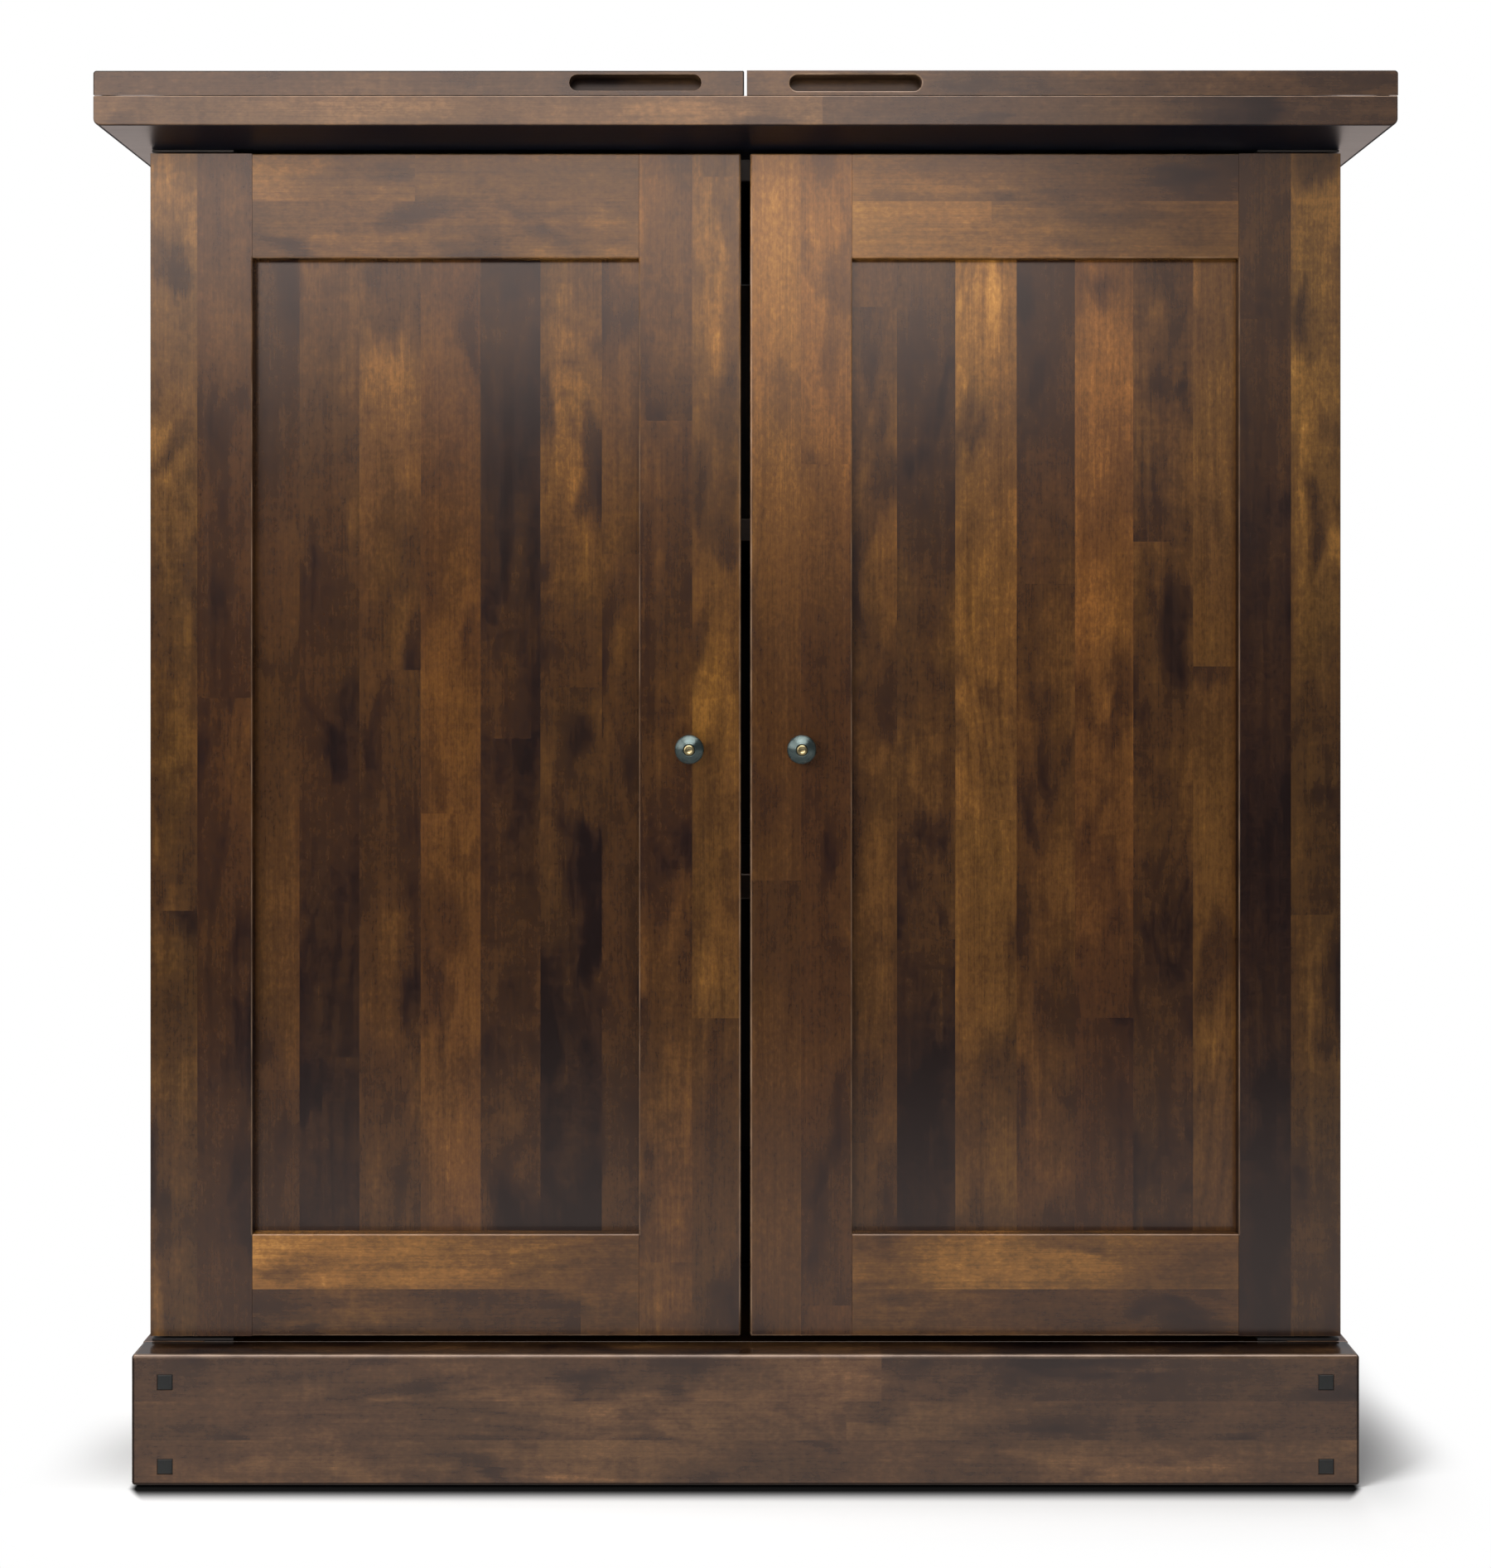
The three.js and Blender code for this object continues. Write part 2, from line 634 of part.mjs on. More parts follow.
// Bolt through the knob and the stile, from its head behind the door: same columns
const BOLT_PROFILE = [
  [0, -DOOR_T - 2.4], [4.4, -DOOR_T - 2.4], [5.4, -DOOR_T - 1.2], [5.4, -DOOR_T - 0.15],
  [2.1, -DOOR_T - 0.15], [2.1, 14.6], [4.0, 14.6], [4.0, 18.6],
  [3.2, 19.3], [1.6, 18.9], [0, 18.5],
];

const turnedOut = (profile, segments) => turned(profile, segments).rotateX(Math.PI);

// Bush of a pivot, let into an end of the hinged stile
function bush() {
  const profile = [
    [BUSH_BORE, 0], [BUSH_R, 0], [BUSH_R, BUSH_L], [BUSH_BORE, BUSH_L], [BUSH_BORE, 0],
  ];
  return turned(profile, 16).rotateX(Math.PI / 2);
}

function strikePlate(across) {
  const [x0, x1] = STRIKE_FROM_EDGE.map((d) => across(DOOR_W - d));
  const [y0, y1] = STRIKE_OUT.map((d) => REAR_Y + d);
  return cuboid(x0, x1, y0, y1, ...STRIKE_Z);
}

// Plate with a pin; up is the direction of the pin from the face the plate is fixed to
function pivotBracket(sign, seatZ, up) {
  const outer = sign * (BODY_W / 2 - BRACKET_INSET);
  const inner = outer - sign * BRACKET_L;
  const y0 = PIVOT_Y - BRACKET_W / 2;
  const pinRoot = seatZ + (up * BRACKET_T) / 2;
  const pinEnd = seatZ + up * (BRACKET_T + PIVOT_L);
  return join(
    cuboid(outer, inner, y0, y0 + BRACKET_W, seatZ, seatZ + up * BRACKET_T),
    barZ(PIVOT_R, sign * PIVOT_X, PIVOT_Y, pinRoot, pinEnd, 16),
  );
}

for (const [sign, side] of SIDES) {
  const across = (d) => -sign * (d - PIVOT_FROM_EDGE);
  const door = group(object);
  door.position.set(sign * PIVOT_X, PIVOT_Y, 0);
  const add = (name, ...rest) => place(door, `door_${side}_${name}`, ...rest);

  const topRailZ = DOOR_Z1 - RAIL;
  const bottomRailZ = DOOR_Z0 + DOOR_BOTTOM_RAIL;
  add("hinge_stile", hingeStile(across), stainedFront);
  add("latch_stile", latchStile(across), stainedFront);
  add("top_rail", doorRail(across, topRailZ, DOOR_Z1, topRailZ), stainedFront);
  add("bottom_rail", doorRail(across, DOOR_Z0, bottomRailZ, bottomRailZ), stainedFront);
  add("panel", doorPanel(across), stainedFront);

  const knobPosition = [across(KNOB_IN), FACE_Y, KNOB_Z];
  add("knob", turnedOut(KNOB_PROFILE, 18), darkSteel, knobPosition);
  add("knob_bolt", turnedOut(BOLT_PROFILE, 14), brass, knobPosition);
  add("top_bush", bush(), brass, [0, 0, DOOR_Z1 - BUSH_L]);
  add("bottom_bush", bush(), brass, [0, 0, DOOR_Z0]);
  add("strike_plate", strikePlate(across), darkSteel);

  // One bracket under the top and one on the floor of the cabinet
  place(carcass, `pivot_bracket_${side}_top`, pivotBracket(sign, BODY_Z1, -1), darkSteel);
  place(carcass, `pivot_bracket_${side}_bottom`, pivotBracket(sign, BODY_Z0, 1), darkSteel);
}

export default object;
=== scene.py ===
import json
import math
import random

import bmesh
import bpy
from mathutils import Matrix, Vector


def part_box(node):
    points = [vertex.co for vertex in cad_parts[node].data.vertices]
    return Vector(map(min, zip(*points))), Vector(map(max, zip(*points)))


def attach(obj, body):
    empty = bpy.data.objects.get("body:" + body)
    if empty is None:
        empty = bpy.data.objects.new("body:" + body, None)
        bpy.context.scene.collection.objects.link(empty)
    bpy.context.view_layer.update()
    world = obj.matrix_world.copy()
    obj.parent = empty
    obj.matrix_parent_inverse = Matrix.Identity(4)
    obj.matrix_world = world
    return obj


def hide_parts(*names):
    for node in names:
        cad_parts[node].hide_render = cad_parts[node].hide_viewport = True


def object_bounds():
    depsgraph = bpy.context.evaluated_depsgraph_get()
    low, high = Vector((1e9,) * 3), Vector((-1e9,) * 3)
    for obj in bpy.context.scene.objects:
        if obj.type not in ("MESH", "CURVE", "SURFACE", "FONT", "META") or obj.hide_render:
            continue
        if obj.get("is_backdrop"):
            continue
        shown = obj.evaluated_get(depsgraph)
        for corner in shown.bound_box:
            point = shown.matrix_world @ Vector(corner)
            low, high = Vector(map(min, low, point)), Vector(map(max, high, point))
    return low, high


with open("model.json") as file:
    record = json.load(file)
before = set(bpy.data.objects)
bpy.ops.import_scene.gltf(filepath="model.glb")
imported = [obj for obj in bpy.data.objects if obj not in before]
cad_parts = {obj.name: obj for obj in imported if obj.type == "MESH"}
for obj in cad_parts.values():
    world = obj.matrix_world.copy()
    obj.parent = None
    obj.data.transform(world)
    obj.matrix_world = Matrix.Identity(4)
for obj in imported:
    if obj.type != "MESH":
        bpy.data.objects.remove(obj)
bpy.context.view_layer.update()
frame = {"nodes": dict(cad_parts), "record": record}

MM = 0.001
nodes = frame["nodes"]
body_of_node = {n: b for b, ns in frame["record"]["behaviour"]["bodies"].items() for n in ns}
X, Y, Z = 0, 1, 2


# ------------------------------------------------------------------ node helpers

def lin(r, g, b):
    """0-255 screen colour to linear."""
    out = []
    for c in (r, g, b):
        c /= 255.0
        out.append(c / 12.92 if c <= 0.04045 else ((c + 0.055) / 1.055) ** 2.4)
    return (*out, 1.0)


class Tree:
    def __init__(self, tree):
        self.t = tree

    def add(self, kind, inputs=None, **props):
        node = self.t.nodes.new(kind)
        for k, v in props.items():
            setattr(node, k, v)
        for k, v in (inputs or {}).items():
            self.put(node.inputs[k], v)
        return node

    def put(self, socket, v):
        if isinstance(v, bpy.types.NodeSocket):
            self.t.links.new(v, socket)
        else:
            socket.default_value = v

    def math(self, op, a, b=0.0, c=0.0, clamp=False):
        n = self.add("ShaderNodeMath", operation=op, use_clamp=clamp)
        for s, v in zip(n.inputs, (a, b, c)):
            self.put(s, v)
        return n.outputs[0]

    def vmath(self, op, a, b=(0, 0, 0)):
        n = self.add("ShaderNodeVectorMath", operation=op)
        self.put(n.inputs[0], a)
        self.put(n.inputs[1], b)
        return n.outputs[0]

    def smooth(self, v, lo, hi, to_lo=0.0, to_hi=1.0):
        n = self.add("ShaderNodeMapRange", interpolation_type="SMOOTHSTEP")
        for s, x in zip(n.inputs, (v, lo, hi, to_lo, to_hi)):
            self.put(s, x)
        return n.outputs[0]

    def noise(self, vec, scale, detail=2.0, rough=0.5, distort=0.0):
        """Noise about 0, between about -1 and 1, from a vector stretched by scale (a triple)."""
        n = self.add("ShaderNodeTexNoise", {
            "Vector": self.vmath("MULTIPLY", vec, scale), "Scale": 1.0, "Detail": detail,
            "Roughness": rough, "Distortion": distort})
        return self.math("MULTIPLY_ADD", n.outputs[0], 2.0, -1.0)

    def mix(self, fac, a, b, blend="MIX", clamp=True):
        n = self.add("ShaderNodeMix", data_type="RGBA", blend_type=blend, clamp_factor=clamp)
        self.put(n.inputs[0], fac)
        self.put(n.inputs[6], a)
        self.put(n.inputs[7], b)
        return n.outputs[2]

    def ramp(self, fac, stops, mode="LINEAR"):
        n = self.add("ShaderNodeValToRGB")
        n.color_ramp.interpolation = mode
        e = n.color_ramp.elements
        while len(e) < len(stops):
            e.new(1.0)
        for el, (p, c) in zip(e, sorted(stops)):
            el.position = p
        for el, (p, c) in zip(e, sorted(stops)):
            el.color = c if len(c) == 4 else (*c, 1.0)
        self.put(n.inputs[0], fac)
        return n.outputs[0]


def group(name, ins, outs):
    g = bpy.data.node_groups.new(name, "ShaderNodeTree")
    for n, kind in ins:
        g.interface.new_socket(n, in_out="INPUT", socket_type=kind)
    for n, kind in outs:
        g.interface.new_socket(n, in_out="OUTPUT", socket_type=kind)
    t = Tree(g)
    return g, t, t.add("NodeGroupInput"), t.add("NodeGroupOutput")


# ------------------------------------------------------------------ stained hardwood

# Stain over pale close-grained hardwood: plum where it soaks in, amber where it doesn't.
STAIN = [
    (0.00, lin(17, 10, 10)), (0.15, lin(27, 16, 12)), (0.30, lin(39, 24, 13)), (0.45, lin(52, 33, 15)),
    (0.60, lin(70, 46, 19)), (0.75, lin(97, 65, 26)), (0.90, lin(132, 93, 40)), (1.00, lin(154, 113, 54)),
]


def make_stain_group():
    g, t, gi, go = group(
        "stained_staves",
        [("Along", "NodeSocketFloat"), ("Across", "NodeSocketFloat"), ("Through", "NodeSocketFloat"),
         ("Fraction", "NodeSocketFloat"), ("Tones", "NodeSocketColor"), ("Traits", "NodeSocketColor"),
         ("Seed", "NodeSocketFloat"), ("Length", "NodeSocketFloat"), ("End", "NodeSocketFloat"),
         ("Arris", "NodeSocketFloat"), ("Grey", "NodeSocketFloat"), ("Gain", "NodeSocketFloat")],
        [("Color", "NodeSocketColor"), ("Roughness", "NodeSocketFloat"), ("Height", "NodeSocketFloat")],
    )
    o = gi.outputs
    tones = t.add("ShaderNodeSeparateColor", {"Color": o["Tones"]}).outputs
    traits = t.add("ShaderNodeSeparateColor", {"Color": o["Traits"]}).outputs
    red, mottle = traits[0], traits[1]
    stave = t.math("ROUND", t.math("MULTIPLY", traits[2], 32.0))

    # each stave is one or more lengths of timber, finger-jointed end to end
    own = t.add("ShaderNodeTexWhiteNoise", {"Vector": t.add("ShaderNodeCombineXYZ", {0: stave, 1: o["Seed"], 2: 0.5}).outputs[0]},
                noise_dimensions="3D").outputs
    wobble = t.add("ShaderNodeCombineXYZ", {0: o["Along"], 1: o["Across"], 2: o["Through"]}).outputs[0]
    place = t.math("ADD", t.math("DIVIDE", o["Along"], o["Length"]), t.math("MULTIPLY", own[0], 9.0))
    length_id = t.math("FLOOR", place)
    piece = t.add("ShaderNodeTexWhiteNoise", {"Vector": t.add("ShaderNodeCombineXYZ", {0: stave, 1: o["Seed"], 2: length_id}).outputs[0]},
                  noise_dimensions="3D").outputs
    shift = t.vmath("MULTIPLY", piece[1], (37.0, 23.0, 11.0))
    p = t.vmath("ADD", wobble, shift)

    # broad clouds where the stain has soaked in, their edges feathered along the grain
    feather = t.noise(p, (7.0, 520.0, 520.0), 2.0, 0.6)
    feather = t.math("ADD", feather, t.math("MULTIPLY", t.noise(p, (4.0, 140.0, 140.0), 1.0), 0.7))
    q = t.vmath("ADD", p, t.add("ShaderNodeCombineXYZ", {0: t.math("MULTIPLY", feather, 0.009)}).outputs[0])
    cloud = t.noise(q, (8.5, 17.0, 17.0), 2.0, 0.55, 0.35)
    pool = t.noise(t.vmath("ADD", q, (3.1, 1.7, 0.0)), (11.0, 24.0, 24.0), 2.0, 0.5, 0.5)
    pool = t.smooth(pool, 0.02, 0.52)
    glow = t.smooth(t.noise(t.vmath("ADD", q, (9.4, 5.2, 0.0)), (6.0, 44.0, 44.0), 3.0, 0.55, 0.5), 0.10, 0.55)
    mott = t.noise(q, (36.0, 62.0, 62.0), 3.0, 0.65, 0.6)
    # close speckle where the stain lies unevenly on short grain
    speck = t.noise(p, (190.0, 330.0, 330.0), 3.0, 0.7, 0.3)
    # the toner sprayed over the made-up board, heedless of its joints
    toner = t.noise(t.vmath("ADD", wobble, (1.0, 2.0, 3.0)), (7.0, 11.0, 11.0), 3.0, 0.55, 0.4)
    # cross-grain ripple of figured timber
    curl = t.noise(p, (120.0, 30.0, 30.0), 2.0, 0.6, 0.8)
    # grain: bands, fine lines, and nested growth-ring arches
    band = t.noise(p, (2.2, 150.0, 150.0), 3.0, 0.6, 0.2)
    fine = t.noise(p, (11.0, 900.0, 900.0), 2.0, 0.6, 0.0)
    field = t.noise(p, (2.6, 11.0, 11.0), 1.0, 0.4, 0.5)
    arch = t.math("SINE", t.math("MULTIPLY", t.math("ADD", field, t.math("MULTIPLY", o["Across"], 6.0)), 46.0))
    arch = t.math("POWER", t.math("MULTIPLY_ADD", arch, 0.5, 0.5), 3.0)
    arch_here = t.smooth(t.noise(t.vmath("ADD", p, (4.0, 8.0, 2.0)), (4.0, 9.0, 9.0), 1.0), -0.1, 0.4)
    pore = t.smooth(t.noise(p, (120.0, 2300.0, 2300.0), 1.0, 0.5), 0.22, 0.5)
    # small knots: sparse round dark eyes
    knot = t.add("ShaderNodeTexVoronoi", {"Vector": t.vmath("MULTIPLY", t.vmath("ADD", p, t.vmath("MULTIPLY", t.add(
        "ShaderNodeTexNoise", {"Vector": t.vmath("MULTIPLY", p, (60, 60, 60)), "Scale": 1.0}).outputs[1], (0.012, 0.008, 0.008))),
        (4.2, 9.5, 9.5)), "Scale": 1.0, "Randomness": 1.0}, feature="F1")
    eye_on = t.math("GREATER_THAN", t.add("ShaderNodeSeparateColor", {"Color": knot.outputs["Color"]}).outputs[0], 0.72)
    eye = t.math("MULTIPLY", t.smooth(knot.outputs["Distance"], 0.16, 0.02), eye_on)

    # tone down the length of the stave: start, middle, end
    f = t.math("ADD", o["Fraction"], t.math("MULTIPLY", cloud, 0.05), clamp=True)
    low = t.math("ADD", tones[0], t.math("MULTIPLY", t.math("SUBTRACT", tones[1], tones[0]), t.smooth(f, 0.08, 0.5)))
    base = t.math("ADD", low, t.math("MULTIPLY", t.math("SUBTRACT", tones[2], tones[1]), t.smooth(f, 0.5, 0.92)))

    def plus(a, b, k):
        return t.math("MULTIPLY_ADD", b, k, a)

    m = t.math("MULTIPLY_ADD", mottle, 0.9, 0.25)
    tone = plus(base, t.math("SUBTRACT", piece[0], 0.5), 0.12)
    tone = plus(tone, t.math("MULTIPLY", cloud, m), 0.31)
    tone = plus(tone, t.math("MULTIPLY", pool, m), -0.36)
    tone = plus(tone, t.math("MULTIPLY", glow, m), 0.16)
    tone = plus(tone, t.math("MULTIPLY", mott, m), 0.15)
    tone = plus(tone, speck, 0.17)
    tone = plus(tone, t.math("MULTIPLY", toner, m), 0.22)
    tone = plus(tone, t.math("MULTIPLY", curl, mottle), 0.10)
    tone = plus(tone, band, 0.09)
    tone = plus(tone, fine, 0.09)
    tone = plus(tone, t.math("MULTIPLY", arch, arch_here), -0.07)
    tone = plus(tone, pore, -0.08)
    tone = plus(tone, eye, -0.30)
    tone = t.math("ADD", tone, 0.0, clamp=True)

    colour = t.ramp(tone, STAIN)
    colour = t.mix(red, colour, t.mix(1.0, colour, (1.10, 0.90, 0.88, 1.0), "MULTIPLY"))
    hue = t.smooth(t.noise(p, (7.0, 22.0, 22.0), 2.0), -0.4, 0.5)
    colour = t.mix(t.math("MULTIPLY", hue, 0.5), colour, t.mix(1.0, colour, (0.94, 1.02, 0.88, 1.0), "MULTIPLY"))
    # end grain: darker, with short arcs instead of long lines
    ends = t.noise(t.vmath("ADD", p, (0.3, 0.1, 0.0)), (40.0, 240.0, 60.0), 4.0, 0.6, 0.8)
    end_colour = t.mix(t.math("MULTIPLY_ADD", ends, 0.5, 0.5), lin(38, 25, 22), lin(72, 48, 33))
    colour = t.mix(t.math("MULTIPLY", o["End"], 0.85), colour, end_colour)
    # arrises painted paler, unevenly: partly rubbed wear, partly a painted highlight on the arrises that face the light
    wear_and_highlight = t.smooth(t.noise(wobble, (35.0, 35.0, 35.0), 3.0), -0.5, 0.6, 0.12, 0.5)
    colour = t.mix(t.math("MULTIPLY", t.math("MAXIMUM", o["Arris"], 0.0), wear_and_highlight), colour, lin(150, 124, 100))
    # other arrises and the routed pockets painted dark: painted shade on the edges and in the pockets turned away from
    # the light
    painted_edge_shade = t.math("MULTIPLY", t.math("MINIMUM", o["Arris"], 0.0), -1.0)
    colour = t.mix(painted_edge_shade, colour, lin(12, 9, 8))
    grey = t.add("ShaderNodeHueSaturation", {"Saturation": 0.5, "Value": 1.06, "Color": colour}).outputs[0]
    colour = t.mix(o["Grey"], colour, grey)
    scale = t.add("ShaderNodeCombineXYZ", {0: o["Gain"], 1: o["Gain"], 2: o["Gain"]}).outputs[0]
    colour = t.mix(1.0, colour, scale, "MULTIPLY")

    smear = t.noise(wobble, (5.0, 5.0, 5.0), 3.0, 0.6)
    rough = t.math("ADD", 0.205, t.math("MULTIPLY", smear, 0.035))
    rough = plus(rough, band, 0.03)
    rough = plus(rough, pore, 0.05)
    rough = plus(rough, o["End"], 0.18)
    rough = plus(rough, painted_edge_shade, 0.4)
    height = plus(t.math("MULTIPLY", band, 0.25), fine, 0.25)
    height = plus(height, pore, -0.12)
    height = plus(height, t.noise(wobble, (3.0, 14.0, 14.0), 1.0), 1.2)
    t.put(go.inputs["Color"], colour)
    t.put(go.inputs["Roughness"], rough)
    t.put(go.inputs["Height"], height)
    return g


STAVES = make_stain_group()
AXES = "XYZ"
stain_count = 0


def stain(name, box, grain, across, splits, staves, grey=0.0, gain=1.0, length=0.62, flip=False, rough=0.0, painted_underside_shade=False, shade=None):
    """A board of edge-glued staves. grain and across are axes; splits are fractions across the board, from its low side;
    staves hold (tone at start, middle, end of the grain, redness, mottling); the start is the board's low end, or its high end with flip."""
    global stain_count
    stain_count += 1
    lo, hi = box
    through = 3 - grain - across
    mat = bpy.data.materials.new(name)
    mat.use_nodes = True
    nt = mat.node_tree
    nt.nodes.clear()
    t = Tree(nt)
    where = t.add("ShaderNodeTexCoord").outputs["Object"]
    xyz = t.add("ShaderNodeSeparateXYZ", {0: where}).outputs
    frac_across = t.math("DIVIDE", t.math("SUBTRACT", xyz[across], lo[across]), hi[across] - lo[across], clamp=True)
    frac_along = t.math("DIVIDE", t.math("SUBTRACT", xyz[grain], lo[grain]), hi[grain] - lo[grain], clamp=True)
    if flip:
        frac_along = t.math("SUBTRACT", 1.0, frac_along)
    starts = [0.0] + list(splits)
    assert len(starts) == len(staves), (name, len(starts), len(staves))
    tones = t.ramp(frac_across, [(s, (v[0], v[1], v[2])) for s, v in zip(starts, staves)], "CONSTANT")
    traits = t.ramp(frac_across, [(s, (v[3], v[4], i / 32.0)) for i, (s, v) in enumerate(zip(starts, staves))], "CONSTANT")
    normal = t.add("ShaderNodeSeparateXYZ", {0: t.add("ShaderNodeTexCoord").outputs["Normal"]}).outputs
    end = t.smooth(t.math("ABSOLUTE", normal[grain]), 0.8, 0.98)
    arris = t.add("ShaderNodeAttribute", attribute_name="arris").outputs["Fac"]
    # painted shade: the gain changes across y between the given values
    if shade:
        gain = t.math("MULTIPLY", t.smooth(xyz[Y], *shade), gain)
    g = t.add("ShaderNodeGroup", node_tree=STAVES)
    for k, v in (("Along", xyz[grain]), ("Across", xyz[across]), ("Through", xyz[through]), ("Fraction", frac_along),
                 ("Tones", tones), ("Traits", traits), ("Seed", stain_count * 1.37), ("Length", length), ("End", end),
                 ("Arris", arris), ("Grey", grey), ("Gain", gain)):
        t.put(g.inputs[k], v)
    bump = t.add("ShaderNodeBump", {"Strength": 0.35, "Distance": 0.00006, "Height": g.outputs["Height"]})
    # the arrises painted dark as shade lose their polish too
    dull = t.math("MULTIPLY_ADD", t.math("MINIMUM", arris, 0.0), 0.5, 0.5)
    colour, level = g.outputs["Color"], dull
    if painted_underside_shade:
        # the underside painted dark navy as shade, its polish lowered and roughened
        below = t.smooth(normal[2], -0.9, -0.5, 1.0, 0.0)
        colour = t.mix(t.math("MULTIPLY", below, 0.95), colour, lin(3, 9, 20))
        rough = t.math("MULTIPLY", below, 0.16)
        level = t.math("MULTIPLY", t.math("MULTIPLY_ADD", below, -0.48, 1.0), dull)
    bsdf = t.add("ShaderNodeBsdfPrincipled", {
        "Base Color": colour, "Roughness": t.math("ADD", g.outputs["Roughness"], rough),
        "Specular IOR Level": level, "IOR": 1.46, "Normal": bump.outputs[0]})
    t.add("ShaderNodeOutputMaterial", {0: bsdf.outputs[0]})
    return mat


rng = random.Random(20)


def some_staves(n, tone=0.40, spread=0.14, mottle=0.6):
    out = []
    for _ in range(n):
        b = tone + rng.uniform(-spread, spread)
        out.append(tuple(round(min(0.9, max(0.08, v)), 2) for v in (
            b + rng.uniform(-0.08, 0.08), b + rng.uniform(-0.08, 0.08), b + rng.uniform(-0.08, 0.08),
            rng.uniform(0.1, 0.8), mottle + rng.uniform(-0.2, 0.2))))
    return out


def even_splits(width, stave=0.0445, start=None):
    first = rng.uniform(0.35, 1.0) * stave if start is None else start
    cuts, at = [], first
    while at < width - 0.008:
        cuts.append(at / width)
        at += stave * rng.uniform(0.98, 1.02)
    return cuts


# ------------------------------------------------------------------ geometry helpers

def plane_of(face, box, eps=1.5e-4):
    for ax in range(3):
        for side in (0, 1):
            if all(abs(v.co[ax] - box[side][ax]) < eps for v in face.verts):
                return (ax, side)
    return None


def convex_right(e):
    return len(e.link_faces) == 2 and e.is_convex and e.calc_face_angle(0.0) > math.radians(55)


def ease(bm, edges, offset, segments, mark=0.6):
    """Rounds these edges and marks the new strips as arris: above 0 painted pale, partly rubbed wear and partly a
    painted highlight; below 0 painted dark as shade. mark is a number or makes one from a normal.
    """
    edges = [e for e in edges if e.is_valid]
    if not edges:
        return
    made = bmesh.ops.bevel(bm, geom=edges, offset=offset, offset_type="OFFSET", segments=segments, profile=0.5,
                           affect="EDGES", clamp_overlap=True, miter_outer="SHARP", harden_normals=False)
    layer = bm.faces.layers.float["arris"]
    for f in made["faces"]:
        f.normal_update()
        f[layer] = mark(f.normal) if callable(mark) else mark


def bm_from_cad(node):
    bm = bmesh.new()
    bm.from_mesh(nodes[node].data)
    bmesh.ops.remove_doubles(bm, verts=bm.verts, dist=2e-6)
    bmesh.ops.dissolve_limit(bm, angle_limit=math.radians(0.6), verts=bm.verts, edges=bm.edges)
    bmesh.ops.recalc_face_normals(bm, faces=bm.faces)
    bm.faces.layers.float.new("arris")
    return bm


def finish_piece(bm, name, node, material, sharp=38.0, planar=True):
    """planar pieces keep their flat faces flat and only their eased strips are smooth."""
    layer = bm.faces.layers.float["arris"]
    for f in bm.faces:
        f.smooth = not planar or abs(f[layer]) > 1e-6
    for e in bm.edges:
        e.smooth = not (len(e.link_faces) == 2 and e.calc_face_angle(0.0) > math.radians(sharp))
    me = bpy.data.meshes.new(name)
    bm.to_mesh(me)
    bm.free()
    ob = bpy.data.objects.new(name, me)
    bpy.context.scene.collection.objects.link(ob)
    me.materials.append(material)
    many = node if isinstance(node, (list, tuple)) else [node]
    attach(ob, body_of_node[many[0]])
    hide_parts(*many)
    return ob


def board(node, material, box=None, outer=1.0, inner=0.3, mark=0.6, opening=None):
    """A board cut as the CAD has it, with its arrises eased: outer where both faces lie on the box, inner where one does.
    opening is the frame's (x0, x1, z0, z1), whose front arrises are eased 0.9 mm."""
    bm = bm_from_cad(node)
    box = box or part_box(node)
    if opening:
        for z in opening[2:]:
            bmesh.ops.bisect_plane(bm, geom=bm.verts[:] + bm.edges[:] + bm.faces[:], dist=1e-6, plane_co=(0, 0, z), plane_no=(0, 0, 1))
    outs, ins, lips = [], [], []
    for e in bm.edges:
        if not convex_right(e):
            continue
        a, b = (plane_of(f, box) for f in e.link_faces)
        if a and b and a != b:
            outs.append(e)
        elif (a or b) and inner and e.calc_length() > 0.02:
            p, q = e.verts[0].co, e.verts[1].co
            lip = False
            if opening and (Y, 0) in (a, b):
                x0, x1, z0, z1 = opening
                mid = (p + q) / 2
                upright = abs(p.x - q.x) < 1e-5 and min(abs(mid.x - x0), abs(mid.x - x1)) < 1e-4 and z0 < mid.z < z1
                level = abs(p.z - q.z) < 1e-5 and min(abs(mid.z - z0), abs(mid.z - z1)) < 1e-4 and x0 < mid.x < x1
                lip = upright or level
            (lips if lip else ins).append(e)
    ease(bm, lips, 0.9 * MM, 3, 0.5)
    ease(bm, outs, outer * MM, 3, mark)
    if inner:
        ease(bm, [e for e in ins if e.is_valid and convex_right(e)], inner * MM, 2, 0.0)
    return finish_piece(bm, "wood_" + node, node, material)


# ------------------------------------------------------------------ boards and their staves

def whole(*names):
    boxes = [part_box(n) for n in names]
    return (Vector(map(min, *[b[0] for b in boxes])), Vector(map(max, *[b[1] for b in boxes])))


